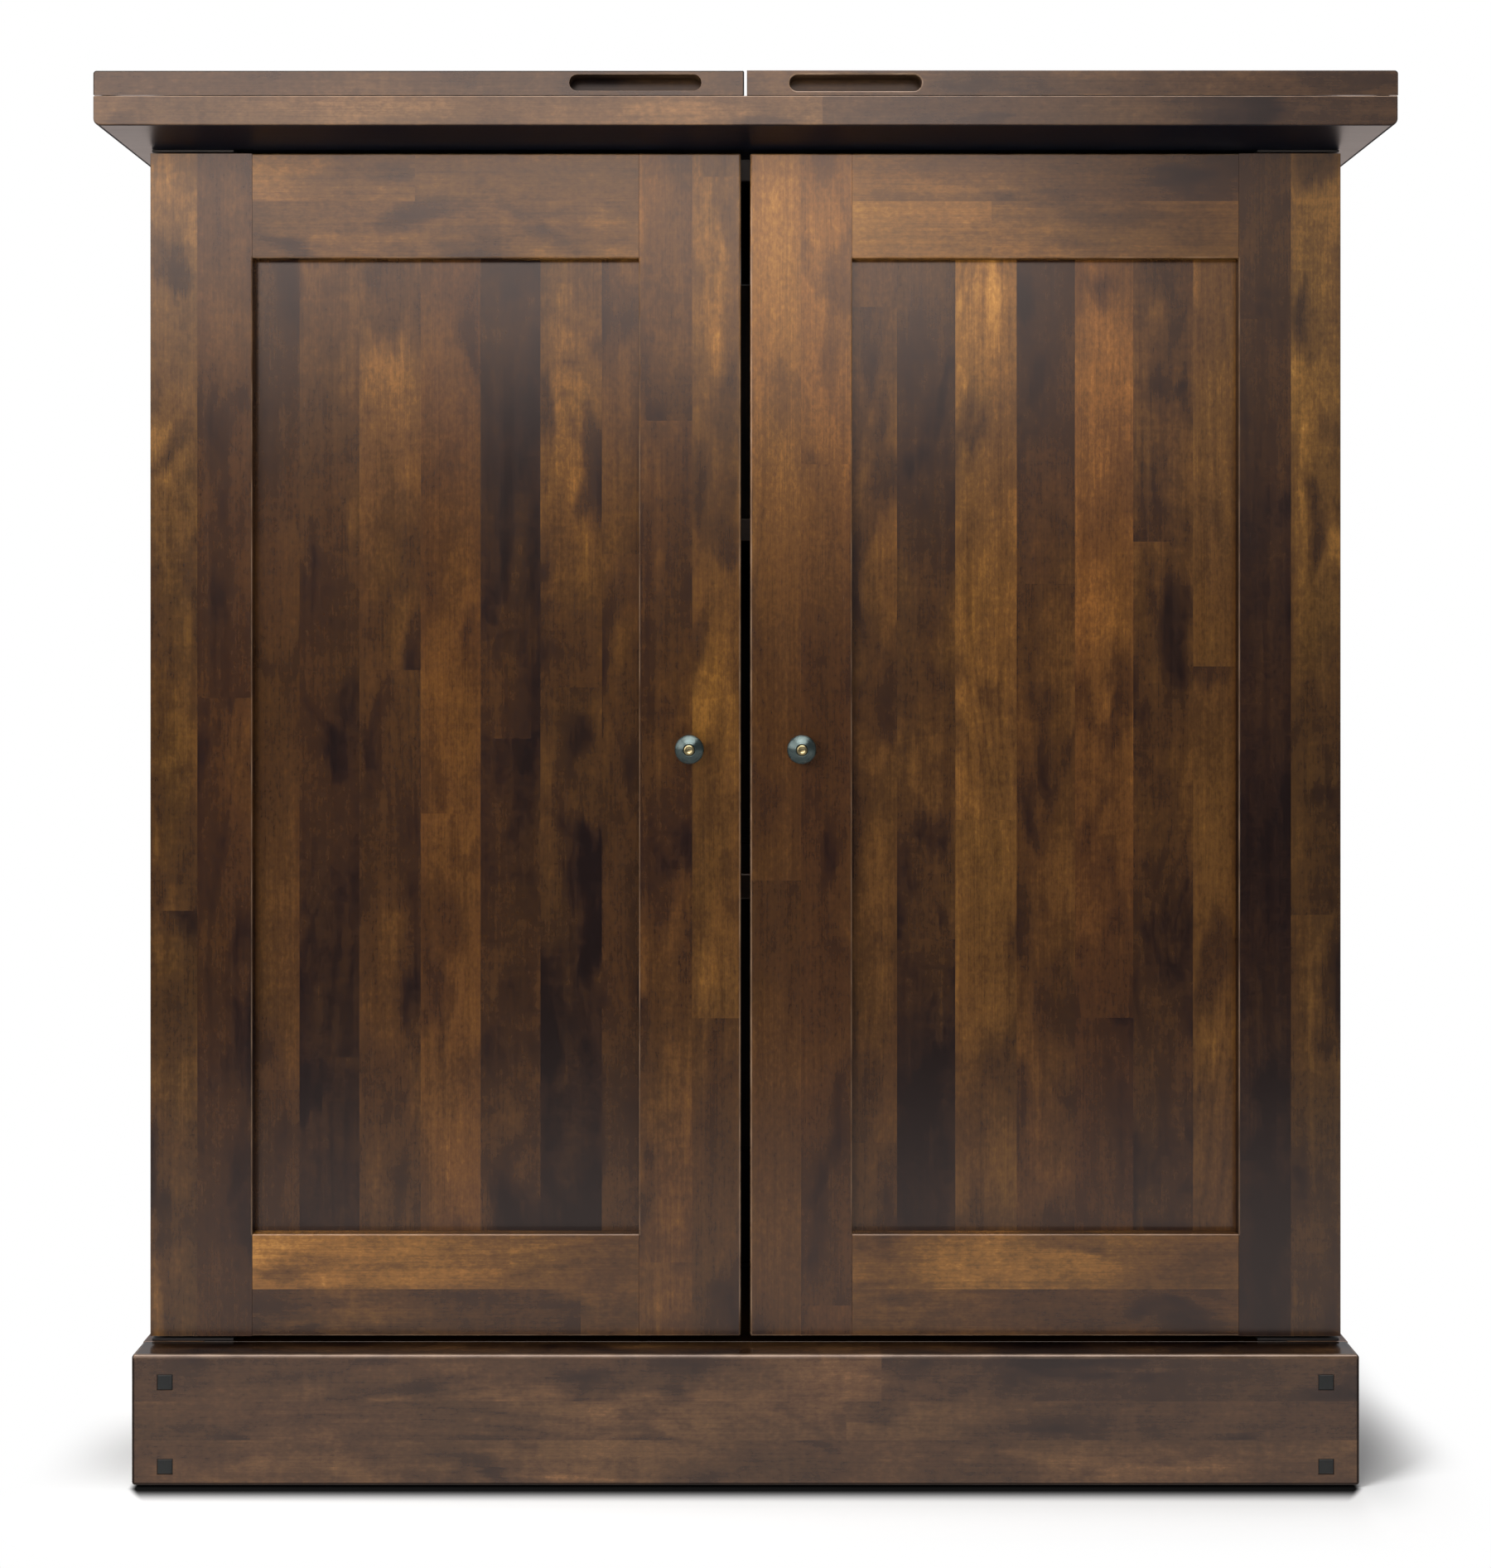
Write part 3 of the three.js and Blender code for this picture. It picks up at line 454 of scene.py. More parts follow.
# (tone at the top or left, middle, bottom or right; redness; mottling), from the low side of the board across
DOOR = {
    "left_hinge_stile": ([0.46], [(.6, .4, .4, .1, .9), (.5, .3, .3, .6, .5)]),
    "left_latch_stile": ([0.52], [(.5, .3, .4, .5, .8), (.6, .5, .4, .3, .5)]),
    "right_latch_stile": ([0.50], [(.7, .4, .5, .5, .1), (.7, .4, .4, .7, .4)]),
    "right_hinge_stile": ([0.51], [(.3, .1, .1, .3, .6), (.7, .5, .3, .0, .8)]),
    "left_top_rail": ([0.54], [(.6, .6, .6, .3, .7), (.6, .6, .6, .3, .6)]),
    "left_bottom_rail": ([0.46], [(.4, .4, .4, .3, .9), (.7, .6, .5, .3, .4)]),
    "right_top_rail": ([0.54], [(.7, .6, .6, .3, .4), (.6, .5, .4, .4, .5)]),
    "right_bottom_rail": ([0.46], [(.5, .5, .4, .4, .6), (.6, .7, .5, .3, .5)]),
    "left_panel": ([0.13, 0.28, 0.43, 0.58, 0.73, 0.88], [
        (.3, .4, .4, .4, .4), (.5, .3, .2, .4, .7), (.5, .3, .3, .4, .7), (.4, .5, .5, .7, .5),
        (.2, .2, .4, .4, .9), (.6, .4, .2, .3, .9), (.5, .4, .4, .4, .6)]),
    "right_panel": ([0.135, 0.28, 0.43, 0.575, 0.72, 0.87], [
        (.5, .5, .4, .4, .6), (.3, .4, .2, .3, .9), (.7, .6, .5, .3, .5), (.3, .4, .4, .6, .7),
        (.6, .5, .3, .8, .6), (.5, .4, .3, .4, .9), (.6, .5, .5, .3, .4)]),
}

for side in ("left", "right"):
    parts = [f"door_{side}_{p}" for p in ("hinge_stile", "latch_stile", "top_rail", "bottom_rail")]
    door_box = whole(*parts)
    stiles = sorted((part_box(n) for n in parts[:2]), key=lambda b: b[0].x)
    opening = (stiles[0][1].x, stiles[1][0].x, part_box(parts[3])[1].z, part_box(parts[2])[0].z)
    outward = -1 if side == "left" else 1
    for part in ("hinge_stile", "latch_stile", "panel"):
        splits, staves = DOOR[f"{side}_{part}"]
        n = f"door_{side}_{part}"
        mat = stain("stain_" + n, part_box(n), Z, X, splits, staves, flip=True)
        if part == "panel":
            board(n, mat, outer=0.8, inner=0)
        else:
            # outward-facing arrises painted dark as shade; the others painted pale, partly wear and partly a painted
            # highlight
            board(n, mat, door_box, outer=1.3, inner=0.2, opening=opening,
                  mark=lambda v, out=outward: -0.85 if v.x * out > 0.2 else 0.6)
    for part in ("top_rail", "bottom_rail"):
        splits, staves = DOOR[f"{side}_{part}"]
        n = f"door_{side}_{part}"
        board(n, stain("stain_" + n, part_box(n), X, Z, splits, staves), door_box, outer=1.3, inner=0.2, opening=opening)

    # carcass side
    names = [f"side_{side}_{p}" for p in ("front_stile", "rear_stile", "top_rail", "bottom_rail")]
    side_box = whole(*names)
    for n in names[:2] + [f"side_{side}_panel"]:
        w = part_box(n)[1].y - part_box(n)[0].y
        splits = even_splits(w, start=0.034 if "stile" in n else None)
        board(n, stain("stain_" + n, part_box(n), Z, Y, splits, some_staves(len(splits) + 1)),
              None if "panel" in n else side_box, outer=0.8, inner=0 if "panel" in n else 0.35)
    for n in names[2:]:
        splits = even_splits(0.077, start=0.034)
        board(n, stain("stain_" + n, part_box(n), Y, Z, splits, some_staves(len(splits) + 1)), side_box, outer=0.8, inner=0.35)

    # plinth
    n = f"plinth_{side}_board"
    board(n, stain("stain_" + n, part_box(n), Y, Z, [0.36, 0.63], some_staves(3, 0.42, 0.06, 0.5), grey=0.1), outer=1.0)
    n = f"plinth_post_{side}"
    board(n, stain("stain_" + n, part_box(n), Z, Y, [], some_staves(1, 0.4, 0.05, 0.4), grey=0.1), outer=1.0)
    n = f"shelf_cleat_{side}"
    board(n, stain("stain_" + n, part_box(n), Y, Z, [], some_staves(1, 0.36), rough=0.1), outer=1.2)

def plinth_front(material):
    """Its front outline and the corners that show against the floor are rounded together."""
    bm = bm_from_cad("plinth_front_board")
    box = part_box("plinth_front_board")
    edges = []
    for e in bm.edges:
        if convex_right(e):
            a, b = (plane_of(f, box) for f in e.link_faces)
            if a and b and ((Y, 0) in (a, b) or {a[0], b[0]} == {X, Z}):
                edges.append(e)
    # the plinth's end and bottom arrises painted dark as shade, its top front arris painted pale as a highlight
    ease(bm, edges, 2.4 * MM, 5, lambda v: -0.85 if abs(v.x) > 0.3 or v.z < 0.05 else 1.0 if v.z > 0.5 else 0.25)
    return finish_piece(bm, "wood_plinth_front_board", "plinth_front_board", material)


# the ledge is painted darker towards the doors as shade
plinth_front(stain("stain_plinth_front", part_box("plinth_front_board"), X, Z, [0.35, 0.645], [
    (.4, .4, .4, .3, .7), (.4, .5, .4, .3, .6), (.4, .5, .3, .4, .8)], grey=0.2, length=1.6, shade=(-0.2135, -0.2055, 1.0, 0.42)))
board("plinth_rear_board", stain("stain_plinth_rear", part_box("plinth_rear_board"), X, Z, [0.36, 0.63],
                                 some_staves(3, 0.38, 0.06, 0.4), grey=0.2), outer=1.0)

for n in ("bottom_board", "fixed_shelf", "upper_shelf"):
    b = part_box(n)
    splits = even_splits(b[1].y - b[0].y)
    # the bottom board's front strip under the doors is painted dark as shade
    board(n, stain("stain_" + n, b, X, Y, splits, some_staves(len(splits) + 1, 0.42, 0.1, 0.4), rough=0.08, length=0.5,
                   shade=(-0.191, -0.180, 0.12, 1.0) if n == "bottom_board" else None),
          outer=0.4 if n == "bottom_board" else 1.2, inner=0.3, mark=0.0 if n == "bottom_board" else 0.6)

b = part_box("back_panel")
board("back_panel", stain("stain_back", b, Z, X, [0.5], [(.4, .42, .4, .3, .5), (.41, .4, .42, .3, .5)], rough=0.14, length=3.0, grey=0.25), outer=0.5)


# ------------------------------------------------------------------ top and leaves

def top_piece(n, splits, staves, ends, grey):
    """The fixed top or a leaf. ends are its (plane, plane) pairs rounded most; its front and back outlines are eased, the finger pull's rim softened."""
    bm = bm_from_cad(n)
    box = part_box(n)
    leaf = n != "top_board"
    layer = bm.faces.layers.float["arris"]
    if leaf:
        # the leaf lies on the top
        for v in bm.verts:
            if abs(v.co.z - box[0].z) < 1e-5:
                v.co.z -= 0.42 * MM
        box = (Vector((box[0].x, box[0].y, box[0].z - 0.42 * MM)), box[1])
    # the finger pull's pocket faces are painted dark as shade
    for f in bm.faces:
        c = f.calc_center_median()
        if leaf and plane_of(f, box) is None and box[0].y + 1e-5 < c.y < box[0].y + 0.0112 and 0.0305 < abs(c.x) < 0.1245 and c.z > box[0].z + 0.002:
            f[layer] = -0.3
    rim, big = [], []
    for e in bm.edges:
        if convex_right(e):
            a, b = (plane_of(f, box) for f in e.link_faces)
            if (a == (Y, 0)) != (b == (Y, 0)) and not (a and b):
                rim.append(e)
            elif {a, b} in ends:
                big.append(e)
    # as much as the wood beyond the hinge plate allows
    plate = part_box("top_hinge_left_" + ("moving_leaf" if leaf else "fixed_leaf"))
    room = box[1].z - plate[1].z if leaf else plate[0].z - box[0].z
    # the finger pull's rim painted pale as a highlight; the rounded ends painted dark as shade
    ease(bm, rim, 1.0 * MM, 4, 0.9)
    ease(bm, [e for e in big if e.is_valid], min(5.0 * MM, room - 0.6 * MM), 8, -0.7)
    rest = []
    for e in bm.edges:
        if convex_right(e) and not any(abs(f[layer] + 0.3) < 1e-3 or abs(f[layer] - 0.9) < 1e-3 for f in e.link_faces):
            a, b = (plane_of(f, box) for f in e.link_faces)
            if leaf and {a, b} == {(Y, 0), (Z, 0)}:
                continue  # the leaf's lower front arris is crisp
            if (a and b and a != b) or ((a or b) and Y == (a or b)[0]):
                rest.append(e)
    # the leaf's upper outline and the ends painted dark as shade; on the top, the upper front arris painted pale as a
    # highlight and the lower one faintly dark as shade
    if leaf:
        ease(bm, rest, 0.9 * MM, 3, lambda v: 0.0 if v.z < -0.3 and abs(v.x) < 0.3 else -0.85)
    else:
        ease(bm, rest, 0.9 * MM, 3, lambda v: -0.85 if abs(v.x) > 0.3 else 1.0 if v.z > 0.2 else -0.2)
    mat = stain("stain_" + n, box, X, Y, splits, staves, grey=grey, length=0.7, painted_underside_shade=not leaf)
    ob = finish_piece(bm, "wood_" + n, n, mat)
    # its underside would show as a hard dark line in the doors' sheen
    ob.visible_glossy = leaf
    return ob


front_first = even_splits(0.51, start=0.044)
top_staves = some_staves(len(front_first) + 1, 0.44, 0.10, 0.45)
top_staves[0] = (.5, .5, .4, .2, .6)
top_piece("top_board", front_first, top_staves, [{(Z, 0), (X, 0)}, {(Z, 0), (X, 1)}], 0.2)
for side in ("left", "right"):
    staves = some_staves(len(front_first) + 1, 0.42, 0.12, 0.5)
    staves[0] = (.4, .4, .4, .2, .5)
    top_piece(f"flip_leaf_{side}", front_first, staves, [{(Z, 1), (X, 0 if side == "left" else 1)}], 0.2)


# ------------------------------------------------------------------ metal and small parts

def simple(name, make):
    mat = bpy.data.materials.new(name)
    mat.use_nodes = True
    mat.node_tree.nodes.clear()
    t = Tree(mat.node_tree)
    bsdf = t.add("ShaderNodeBsdfPrincipled")
    t.add("ShaderNodeOutputMaterial", {0: bsdf.outputs[0]})
    make(t, bsdf, t.add("ShaderNodeTexCoord").outputs["Object"])
    return mat


def pewter(t, bsdf, p):
    n = t.noise(p, (160, 160, 160), 4.0, 0.6, 0.5)
    fine = t.noise(p, (900, 900, 900), 2.0, 0.6)
    wear = t.smooth(t.noise(p, (260, 260, 260), 3.0, 0.6), 0.0, 0.5)
    c = t.mix(t.math("MULTIPLY_ADD", n, 0.5, 0.5), lin(56, 71, 73), lin(80, 98, 100))
    c = t.mix(t.math("MULTIPLY", wear, 0.25), c, lin(124, 132, 128))
    t.put(bsdf.inputs["Base Color"], c)
    t.put(bsdf.inputs["Metallic"], 0.92)
    t.put(bsdf.inputs["Roughness"], t.math("ADD", 0.29, t.math("MULTIPLY", n, 0.07)))
    bump = t.add("ShaderNodeBump", {"Strength": 0.4, "Distance": 0.00012, "Height": t.math("ADD", n, t.math("MULTIPLY", fine, 0.3))})
    t.put(bsdf.inputs["Normal"], bump.outputs[0])


def brass_like(light, dark, rough, spot=420.0):
    def make(t, bsdf, p):
        n = t.noise(p, (spot, spot, spot), 3.0, 0.6, 0.4)
        brushed = t.noise(p, (300, 40, 300), 2.0, 0.6)
        tarnish = t.smooth(t.noise(p, (70, 70, 70), 3.0, 0.6), -0.1, 0.5)
        c = t.mix(t.math("MULTIPLY", tarnish, 0.55), light, dark)
        c = t.mix(t.math("MULTIPLY_ADD", n, 0.15, 0.15), c, dark)
        t.put(bsdf.inputs["Base Color"], c)
        t.put(bsdf.inputs["Metallic"], 1.0)
        t.put(bsdf.inputs["Roughness"], t.math("ADD", rough, t.math("MULTIPLY", brushed, 0.07)))
        bump = t.add("ShaderNodeBump", {"Strength": 0.3, "Distance": 0.00005, "Height": t.math("ADD", n, brushed)})
        t.put(bsdf.inputs["Normal"], bump.outputs[0])
    return make


def black_steel(t, bsdf, p):
    n = t.noise(p, (240, 240, 240), 3.0, 0.6)
    t.put(bsdf.inputs["Base Color"], t.mix(t.math("MULTIPLY_ADD", n, 0.5, 0.5), lin(10, 10, 11), lin(18, 18, 19)))
    t.put(bsdf.inputs["Roughness"], t.math("ADD", 0.5, t.math("MULTIPLY", n, 0.08)))
    t.put(bsdf.inputs["Normal"], t.add("ShaderNodeBump", {"Strength": 0.3, "Distance": 0.0001, "Height": n}).outputs[0])


def slate_plug(t, bsdf, p):
    n = t.noise(p, (170, 170, 900), 3.0, 0.6)
    f = t.noise(p, (700, 700, 700), 2.0)
    c = t.mix(t.math("MULTIPLY_ADD", n, 0.5, 0.5), lin(13, 16, 17), lin(23, 27, 28))
    t.put(bsdf.inputs["Base Color"], c)
    t.put(bsdf.inputs["Roughness"], t.math("ADD", 0.5, t.math("MULTIPLY", f, 0.08)))
    t.put(bsdf.inputs["IOR"], 1.3)
    t.put(bsdf.inputs["Normal"], t.add("ShaderNodeBump", {"Strength": 0.3, "Distance": 0.0001, "Height": n}).outputs[0])


def moulded(t, bsdf, p):
    n = t.noise(p, (1500, 1500, 1500), 2.0)
    t.put(bsdf.inputs["Base Color"], t.mix(t.math("MULTIPLY_ADD", n, 0.5, 0.5), lin(13, 12, 12), lin(20, 18, 17)))
    t.put(bsdf.inputs["Roughness"], t.math("ADD", 0.5, t.math("MULTIPLY", n, 0.06)))
    t.put(bsdf.inputs["Normal"], t.add("ShaderNodeBump", {"Strength": 0.4, "Distance": 0.00005, "Height": n}).outputs[0])


knob_metal = simple("pewter_knob", pewter)
button_brass = simple("brass_button", brass_like(lin(156, 154, 120), lin(92, 84, 50), 0.34))
turned_brass = simple("brass_bush", brass_like(lin(190, 158, 98), lin(110, 86, 48), 0.3))
old_brass = simple("brass_antique", brass_like(lin(104, 86, 54), lin(52, 41, 28), 0.42, 200.0))
steel = simple("steel_black", black_steel)
slate = simple("slate_plug", slate_plug)
plastic = simple("catch_plastic", moulded)


def lathe(profile, steps):
    """A closed turned solid about -Y at the origin: (radius, distance out) pairs from the back axis round to the front."""
    bm = bmesh.new()
    rings = []
    closed = profile[0] == profile[-1]
    pts = profile[:-1] if closed else profile
    for r, d in pts:
        if r < 1e-6:
            rings.append([bm.verts.new((0, -d * MM, 0))])
        else:
            rings.append([bm.verts.new((r * MM * math.cos(2 * math.pi * i / steps), -d * MM,
                                        r * MM * math.sin(2 * math.pi * i / steps))) for i in range(steps)])
    pairs = list(zip(rings, rings[1:])) + ([(rings[-1], rings[0])] if closed else [])
    for a, b in pairs:
        for i in range(steps):
            j = (i + 1) % steps
            if len(a) == 1:
                bm.faces.new((a[0], b[i], b[j]))
            elif len(b) == 1:
                bm.faces.new((a[i], a[j], b[0]))
            else:
                bm.faces.new((a[i], a[j], b[j], b[i]))
    bmesh.ops.recalc_face_normals(bm, faces=bm.faces)
    bm.faces.layers.float.new("arris")
    return bm


def curve(points, n=6):
    """Catmull-Rom through the points, for a soft turned profile."""
    p = [points[0]] + points + [points[-1]]
    out = []
    for i in range(1, len(p) - 2):
        for k in range(n):
            s = k / n
            out.append(tuple(0.5 * (2 * b + (c - a) * s + (2 * a - 5 * b + 4 * c - d) * s * s + (3 * b - a - 3 * c + d) * s ** 3)
                             for a, b, c, d in zip(p[i - 1], p[i], p[i + 1], p[i + 2])))
    out.append(points[-1])
    return out


for side in ("left", "right"):
    n = f"door_{side}_knob"
    lo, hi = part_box(n)
    cx, cz, face = (lo.x + hi.x) / 2, (lo.z + hi.z) / 2, hi.y + 0.2 * MM
    outside = [(6.2, 0.2), (6.6, 0.5)] + curve([(6.6, 1.6), (5.7, 2.9), (5.0, 4.2), (5.0, 6.0), (6.4, 8.3), (9.4, 9.7)], 5) \
        + curve([(10.2, 10.2), (10.65, 11.2), (10.5, 12.3), (9.9, 13.2)], 4) \
        + curve([(9.3, 13.8), (7.6, 15.5), (5.9, 17.1), (5.1, 17.9)], 4) + [(4.7, 18.15), (4.3, 18.1)]
    profile = [(2.3, 0.2)] + outside + [(4.25, 17.8), (4.25, 14.4), (2.3, 14.4), (2.3, 0.2)]
    bm = lathe(profile, 72)
    bmesh.ops.translate(bm, verts=bm.verts, vec=(cx, face, cz))
    finish_piece(bm, f"pull_{n}", n, knob_metal, planar=False)

    n = f"door_{side}_knob_bolt"
    head = curve([(3.9, 18.2), (3.5, 18.95), (2.8, 19.38), (2.1, 19.25), (1.4, 18.75), (0.7, 18.5)], 5)
    back = [(0, -24.4)] + curve([(2.2, -24.35), (4.2, -24.0), (5.1, -23.2), (5.4, -22.4)], 4) + [(5.4, -22.15), (2.1, -22.15), (2.1, 14.6)]
    profile = back + [(3.8, 14.6), (3.98, 14.9), (3.98, 17.9)] + head + [(0, 18.45)]
    bm = lathe(profile, 56)
    bmesh.ops.translate(bm, verts=bm.verts, vec=(cx, face, cz))
    finish_piece(bm, f"pull_{n}", n, button_brass, planar=False)

    for end in ("top", "bottom"):
        n = f"door_{side}_{end}_bush"
        bm = bm_from_cad(n)
        finish_piece(bm, "metal_" + n, n, turned_brass, planar=False)
        n = f"pivot_bracket_{side}_{end}"
        bm = bm_from_cad(n)
        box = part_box(n)
        ease(bm, [e for e in bm.edges if convex_right(e) and e.calc_length() > 0.008], 0.3 * MM, 2)
        finish_piece(bm, "metal_" + n, n, steel)
    n = f"door_{side}_strike_plate"
    bm = bm_from_cad(n)
    ease(bm, [e for e in bm.edges if convex_right(e)], 0.4 * MM, 3)
    finish_piece(bm, "metal_" + n, n, steel)
    for level in ("upper", "lower"):
        n = f"plug_{side}_{level}"
        bm = bm_from_cad(n)
        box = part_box(n)
        front = [e for e in bm.edges if convex_right(e) and all(abs(v.co.y - box[0].y) < 1e-5 for v in e.verts)]
        ease(bm, front, 1.1 * MM, 4)
        ease(bm, [e for e in bm.edges if convex_right(e) and e.calc_length() > 0.006
                  and abs(e.verts[0].co.x - e.verts[1].co.x) < 1e-6 and abs(e.verts[0].co.z - e.verts[1].co.z) < 1e-6], 0.6 * MM, 3)
        finish_piece(bm, "peg_" + n, n, slate)
    for n in (f"top_hinge_{side}_fixed_leaf", f"top_hinge_{side}_moving_leaf", f"top_hinge_{side}_pin"):
        finish_piece(bm_from_cad(n), "metal_" + n, n, old_brass, planar=False)

bm = bm_from_cad("door_catch")
ease(bm, [e for e in bm.edges if convex_right(e)], 1.0 * MM, 3)
finish_piece(bm, "catch_door", "door_catch", plastic)


# ------------------------------------------------------------------ stage, light, camera

def plain_floor():
    bm = bmesh.new()
    bmesh.ops.create_circle(bm, cap_ends=True, segments=96, radius=30.0)
    me = bpy.data.meshes.new("floor")
    bm.to_mesh(me)
    bm.free()
    ob = bpy.data.objects.new("floor", me)
    ob.location.z = -0.002
    bpy.context.scene.collection.objects.link(ob)
    mat = bpy.data.materials.new("floor_pale")
    mat.use_nodes = True
    mat.node_tree.nodes.clear()
    t = Tree(mat.node_tree)
    path = t.add("ShaderNodeLightPath").outputs
    spot = t.add("ShaderNodeSeparateXYZ", {0: t.add("ShaderNodeTexCoord").outputs["Object"]}).outputs
    # distance out from the plinth's footprint
    dx = t.math("MAXIMUM", t.math("SUBTRACT", t.math("ABSOLUTE", spot[0]), 0.4445), 0.0)
    dy = t.math("MAXIMUM", t.math("SUBTRACT", t.math("ABSOLUTE", t.math("SUBTRACT", spot[1], 0.0105)), 0.2345), 0.0)
    out = t.math("SQRT", t.math("ADD", t.math("MULTIPLY", dx, dx), t.math("MULTIPLY", dy, dy)))
    # the painted contact shadow: a dark line in the floor's albedo, narrowing towards the plinth's ends
    wide = t.math("ADD", t.math("ABSOLUTE", spot[0]), t.math("MULTIPLY", dy, 0.75))
    wide = t.math("MULTIPLY", t.math("MAXIMUM", t.math("SUBTRACT", wide, 0.4405), 0.0), 2.6)
    contact_shadow = t.smooth(t.math("SQRT", t.math("ADD", t.math("MULTIPLY", wide, wide), t.math("MULTIPLY", dy, dy))), 0.002, 0.019, 0.01, 1.0)
    # the cast shadow shows round the right front corner and dies away: there the real shading shows, and the albedo is
    # darkened as a painted shadow too
    cx = t.math("DIVIDE", t.math("MAXIMUM", t.math("SUBTRACT", spot[0], 0.4445), 0.0), 0.07)
    cy = t.math("DIVIDE", t.math("ADD", spot[1], 0.175), 0.10)
    cast_shadow_lobe = t.math("SQRT", t.math("ADD", t.math("MULTIPLY", cx, cx), t.math("MULTIPLY", cy, cy)))
    grey = t.math("MULTIPLY", t.math("MULTIPLY", contact_shadow, 0.45), t.smooth(cast_shadow_lobe, 0.0, 1.0, 0.6, 1.0))
    albedo_with_painted_shadow = t.add("ShaderNodeCombineXYZ", {0: grey, 1: grey, 2: grey}).outputs[0]
    near_corner = t.math("MULTIPLY", t.smooth(cast_shadow_lobe, 0.25, 1.5, 1.0, 0.0), t.smooth(spot[0], 0.40, 0.44))
    whiten = t.math("MULTIPLY", t.smooth(out, 0.012, 0.09), t.math("SUBTRACT", 1.0, near_corner))
    pale = t.add("ShaderNodeBsdfDiffuse", {"Color": (0.8, 0.8, 0.8, 1)}).outputs[0]
    shown = t.add("ShaderNodeBsdfDiffuse", {"Color": albedo_with_painted_shadow}).outputs[0]
    white = t.add("ShaderNodeEmission", {"Color": (1, 1, 1, 1), "Strength": 1.0}).outputs[0]
    seen = t.add("ShaderNodeMixShader", {0: whiten, 1: shown, 2: white}).outputs[0]
    # in reflections the floor glows warm, faint far in front, brighter near the cabinet and far behind: a painted
    # reflection
    near = t.math("ADD", t.smooth(spot[1], -1.6, -0.45, 0.02, 0.85), t.smooth(spot[1], 1.0, 2.4, 0.0, 1.0))
    dim = t.add("ShaderNodeEmission", {"Color": (1.22, 1.03, 0.95, 1), "Strength": near}).outputs[0]
    other = t.add("ShaderNodeMixShader", {0: path["Is Glossy Ray"], 1: pale, 2: dim}).outputs[0]
    both = t.add("ShaderNodeMixShader", {0: path["Is Camera Ray"], 1: other, 2: seen}).outputs[0]
    t.add("ShaderNodeOutputMaterial", {0: both})
    me.materials.append(mat)
    ob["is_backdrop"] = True
    return ob


floor = plain_floor()

world = bpy.data.worlds.new("studio")
bpy.context.scene.world = world
world.use_nodes = True
world.node_tree.nodes.clear()
t = Tree(world.node_tree)
path = t.add("ShaderNodeLightPath").outputs
way = t.add("ShaderNodeSeparateXYZ", {0: t.add("ShaderNodeTexCoord").outputs["Generated"]}).outputs
ahead = t.math("MAXIMUM", t.math("MULTIPLY", way[1], -1.0), 0.05)
u, v = t.math("DIVIDE", way[0], ahead), t.math("DIVIDE", way[2], ahead)
# one wide soft panel over the camera, lower in its middle, dying away to the right
panel = t.smooth(v, t.smooth(u, -0.24, 0.02, 0.13, 0.07), t.smooth(u, -0.24, 0.02, 0.27, 0.26))
panel = t.math("MULTIPLY", panel, t.smooth(u, 0.08, 0.34, 3.2, 0.6))
panel = t.math("MULTIPLY", panel, t.smooth(v, 0.42, 0.8, 1.0, 0.3))
above = t.smooth(way[2], 0.70, 0.93, 0.0, 8.0)
beside = t.math("MULTIPLY", t.smooth(way[0], -0.85, -0.5, 2.5, 0.0), t.smooth(way[2], -0.05, 0.3))
front = t.math("ADD", t.math("ADD", panel, above), t.math("ADD", beside, 0.01))
front = t.mix(1.0, t.add("ShaderNodeCombineXYZ", {0: front, 1: front, 2: front}).outputs[0], (1.27, 1.06, 0.97, 1), "MULTIPLY", clamp=False)
back = t.smooth(way[1], -0.1, 0.35)
gloss = t.mix(back, front, (0.8, 0.82, 0.86, 1))
soft = t.mix(t.smooth(way[2], -0.2, 0.9), (0.45, 0.45, 0.46, 1), (0.8, 0.8, 0.81, 1))
seen = t.mix(path["Is Glossy Ray"], soft, gloss)
seen = t.mix(path["Is Camera Ray"], seen, (1.0, 1.0, 1.0, 1))
t.add("ShaderNodeOutputWorld", {0: t.add("ShaderNodeBackground", {"Color": seen, "Strength": 1.0}).outputs[0]})


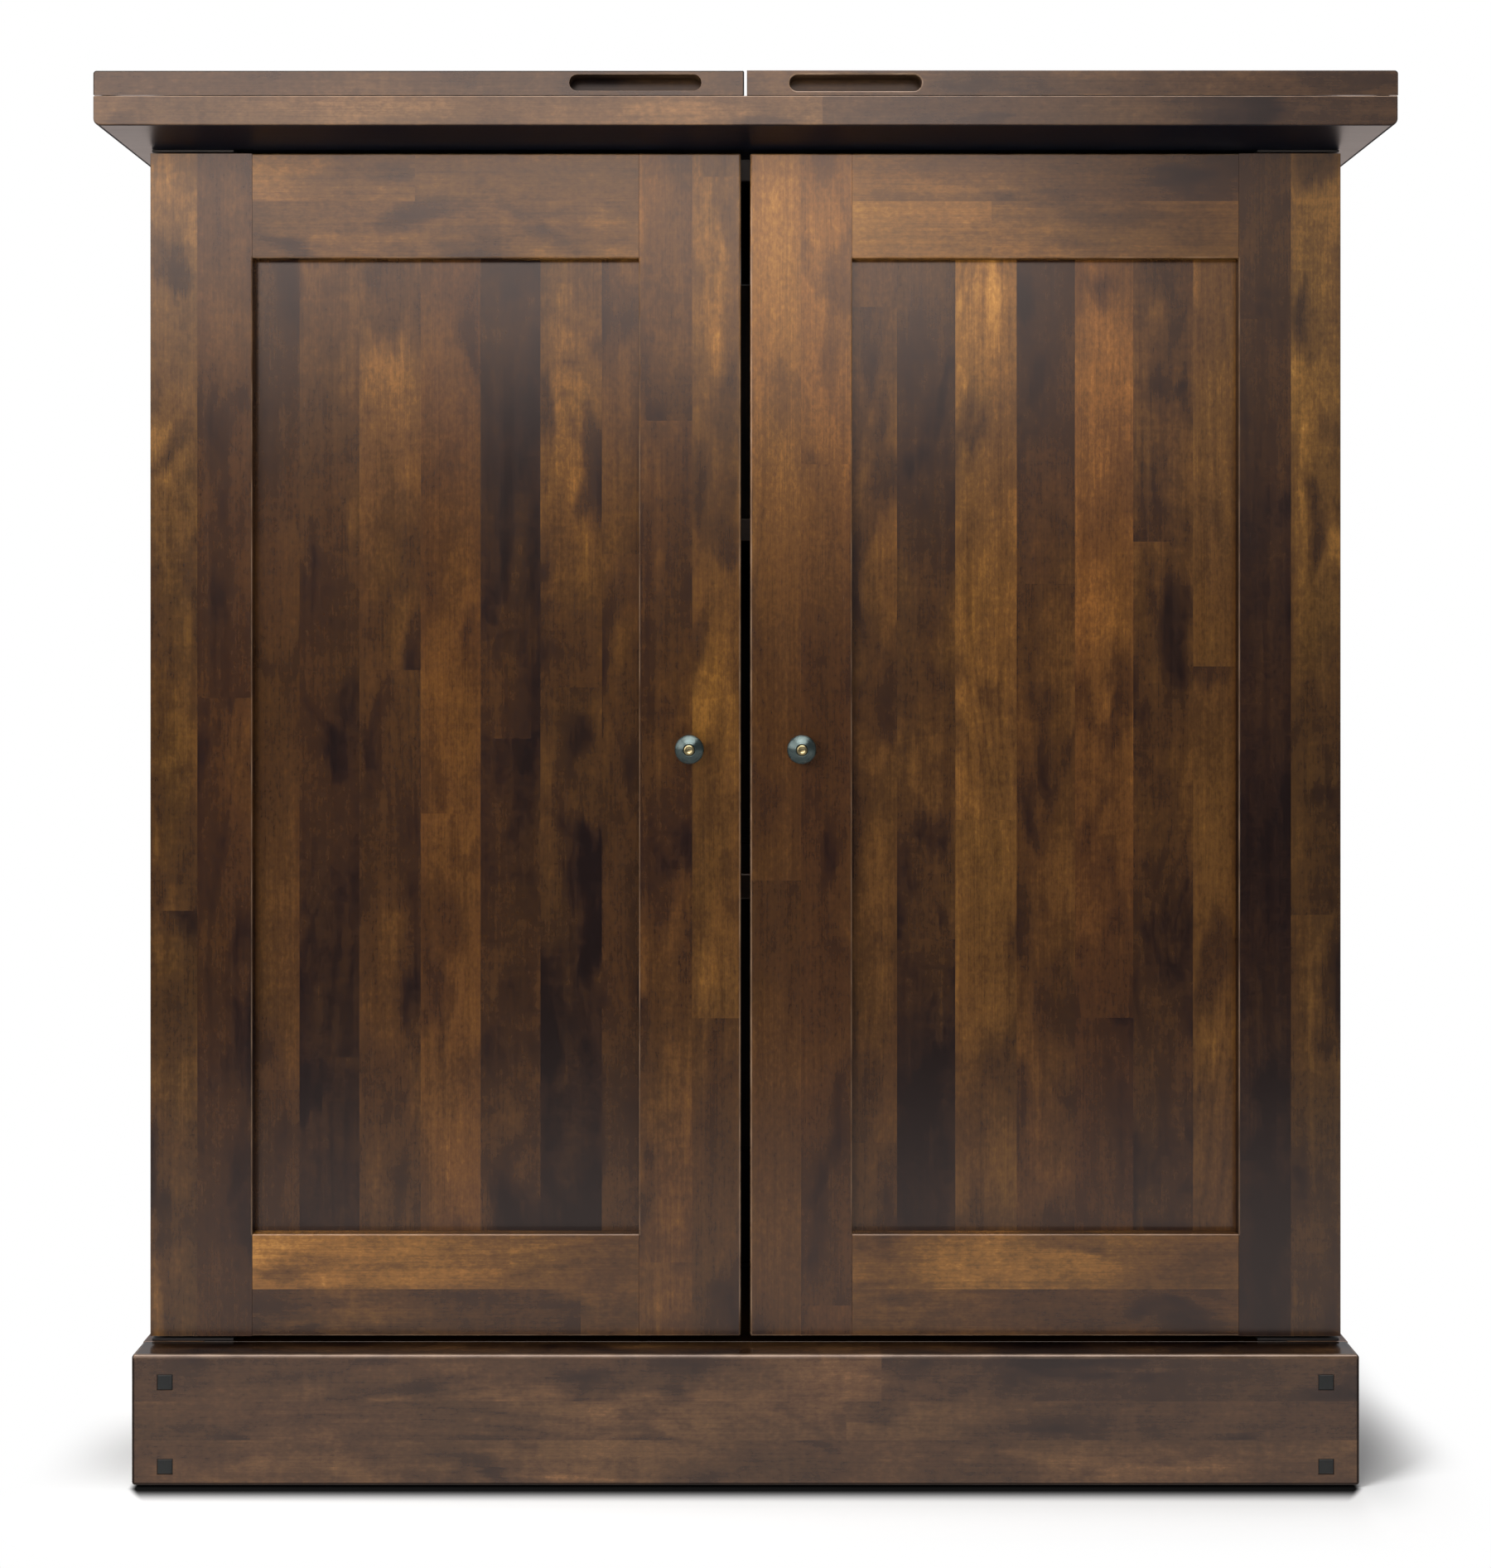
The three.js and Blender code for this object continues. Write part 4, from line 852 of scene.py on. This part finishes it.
def area(name, at, to, size, watts, colour=(1, 1, 1), size_y=None):
    data = bpy.data.lights.new(name, "AREA")
    data.shape = "RECTANGLE"
    data.size, data.size_y = size, size_y or size
    data.energy = watts
    data.color = colour
    ob = bpy.data.objects.new(name, data)
    ob.location = at
    ob.rotation_euler = (Vector(to) - Vector(at)).to_track_quat("-Z", "Y").to_euler()
    ob.visible_glossy = False  # the studio world alone makes the sheen
    bpy.context.scene.collection.objects.link(ob)
    return ob


area("key", (-1.5, -2.6, 1.5), (0, -0.2, 0.55), 1.5, 88, (1.0, 0.985, 0.95))
# a second key that lights only the floor, high on the left, to cast its shadow
floor_key = area("floor_key", (-2.3, -1.5, 2.4), (0, 0, 0), 1.1, 235)
only_floor = bpy.data.collections.new("only_floor")
only_floor.objects.link(floor)
floor_key.light_linking.receiver_collection = only_floor
area("fill", (1.6, -3.0, 1.3), (0, -0.1, 0.5), 2.4, 30, (0.98, 0.99, 1.0))
area("overhead", (0.0, 0.3, 3.2), (0, 0, 0), 2.6, 30)
area("behind", (0.6, 3.0, 2.0), (0, 0.2, 0.5), 2.2, 40)

# The camera stands at standing-waist height square to the front, with a falling shift instead of a tilt.
AT = (0.0, -1.348, 0.6135)
cam = bpy.data.cameras.new("camera")
cam.lens, cam.sensor_width, cam.sensor_fit = 35.68, 36.0, "AUTO"
cam.clip_start, cam.clip_end = 0.02, 100.0
camera = bpy.data.objects.new("camera", cam)
camera.location = AT
camera.rotation_euler = (math.radians(90), 0, 0)
bpy.context.scene.collection.objects.link(camera)
bpy.context.scene.camera = camera
# the shift belongs to this one standpoint only
drive = cam.driver_add("shift_y").driver
drive.type = "SCRIPTED"
for var, kind in (("x", "LOC_X"), ("y", "LOC_Y"), ("z", "LOC_Z")):
    v = drive.variables.new()
    v.name, v.type = var, "TRANSFORMS"
    v.targets[0].id = camera
    v.targets[0].transform_type = kind
    v.targets[0].transform_space = "WORLD_SPACE"
drive.expression = "-0.0932 if abs(x - 0.0) + abs(y + 1.348) + abs(z - 0.6135) < 0.002 else 0.0"

bpy.context.scene.view_settings.view_transform = "Standard"
bpy.context.scene.view_settings.look = "None"

lo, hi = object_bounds()
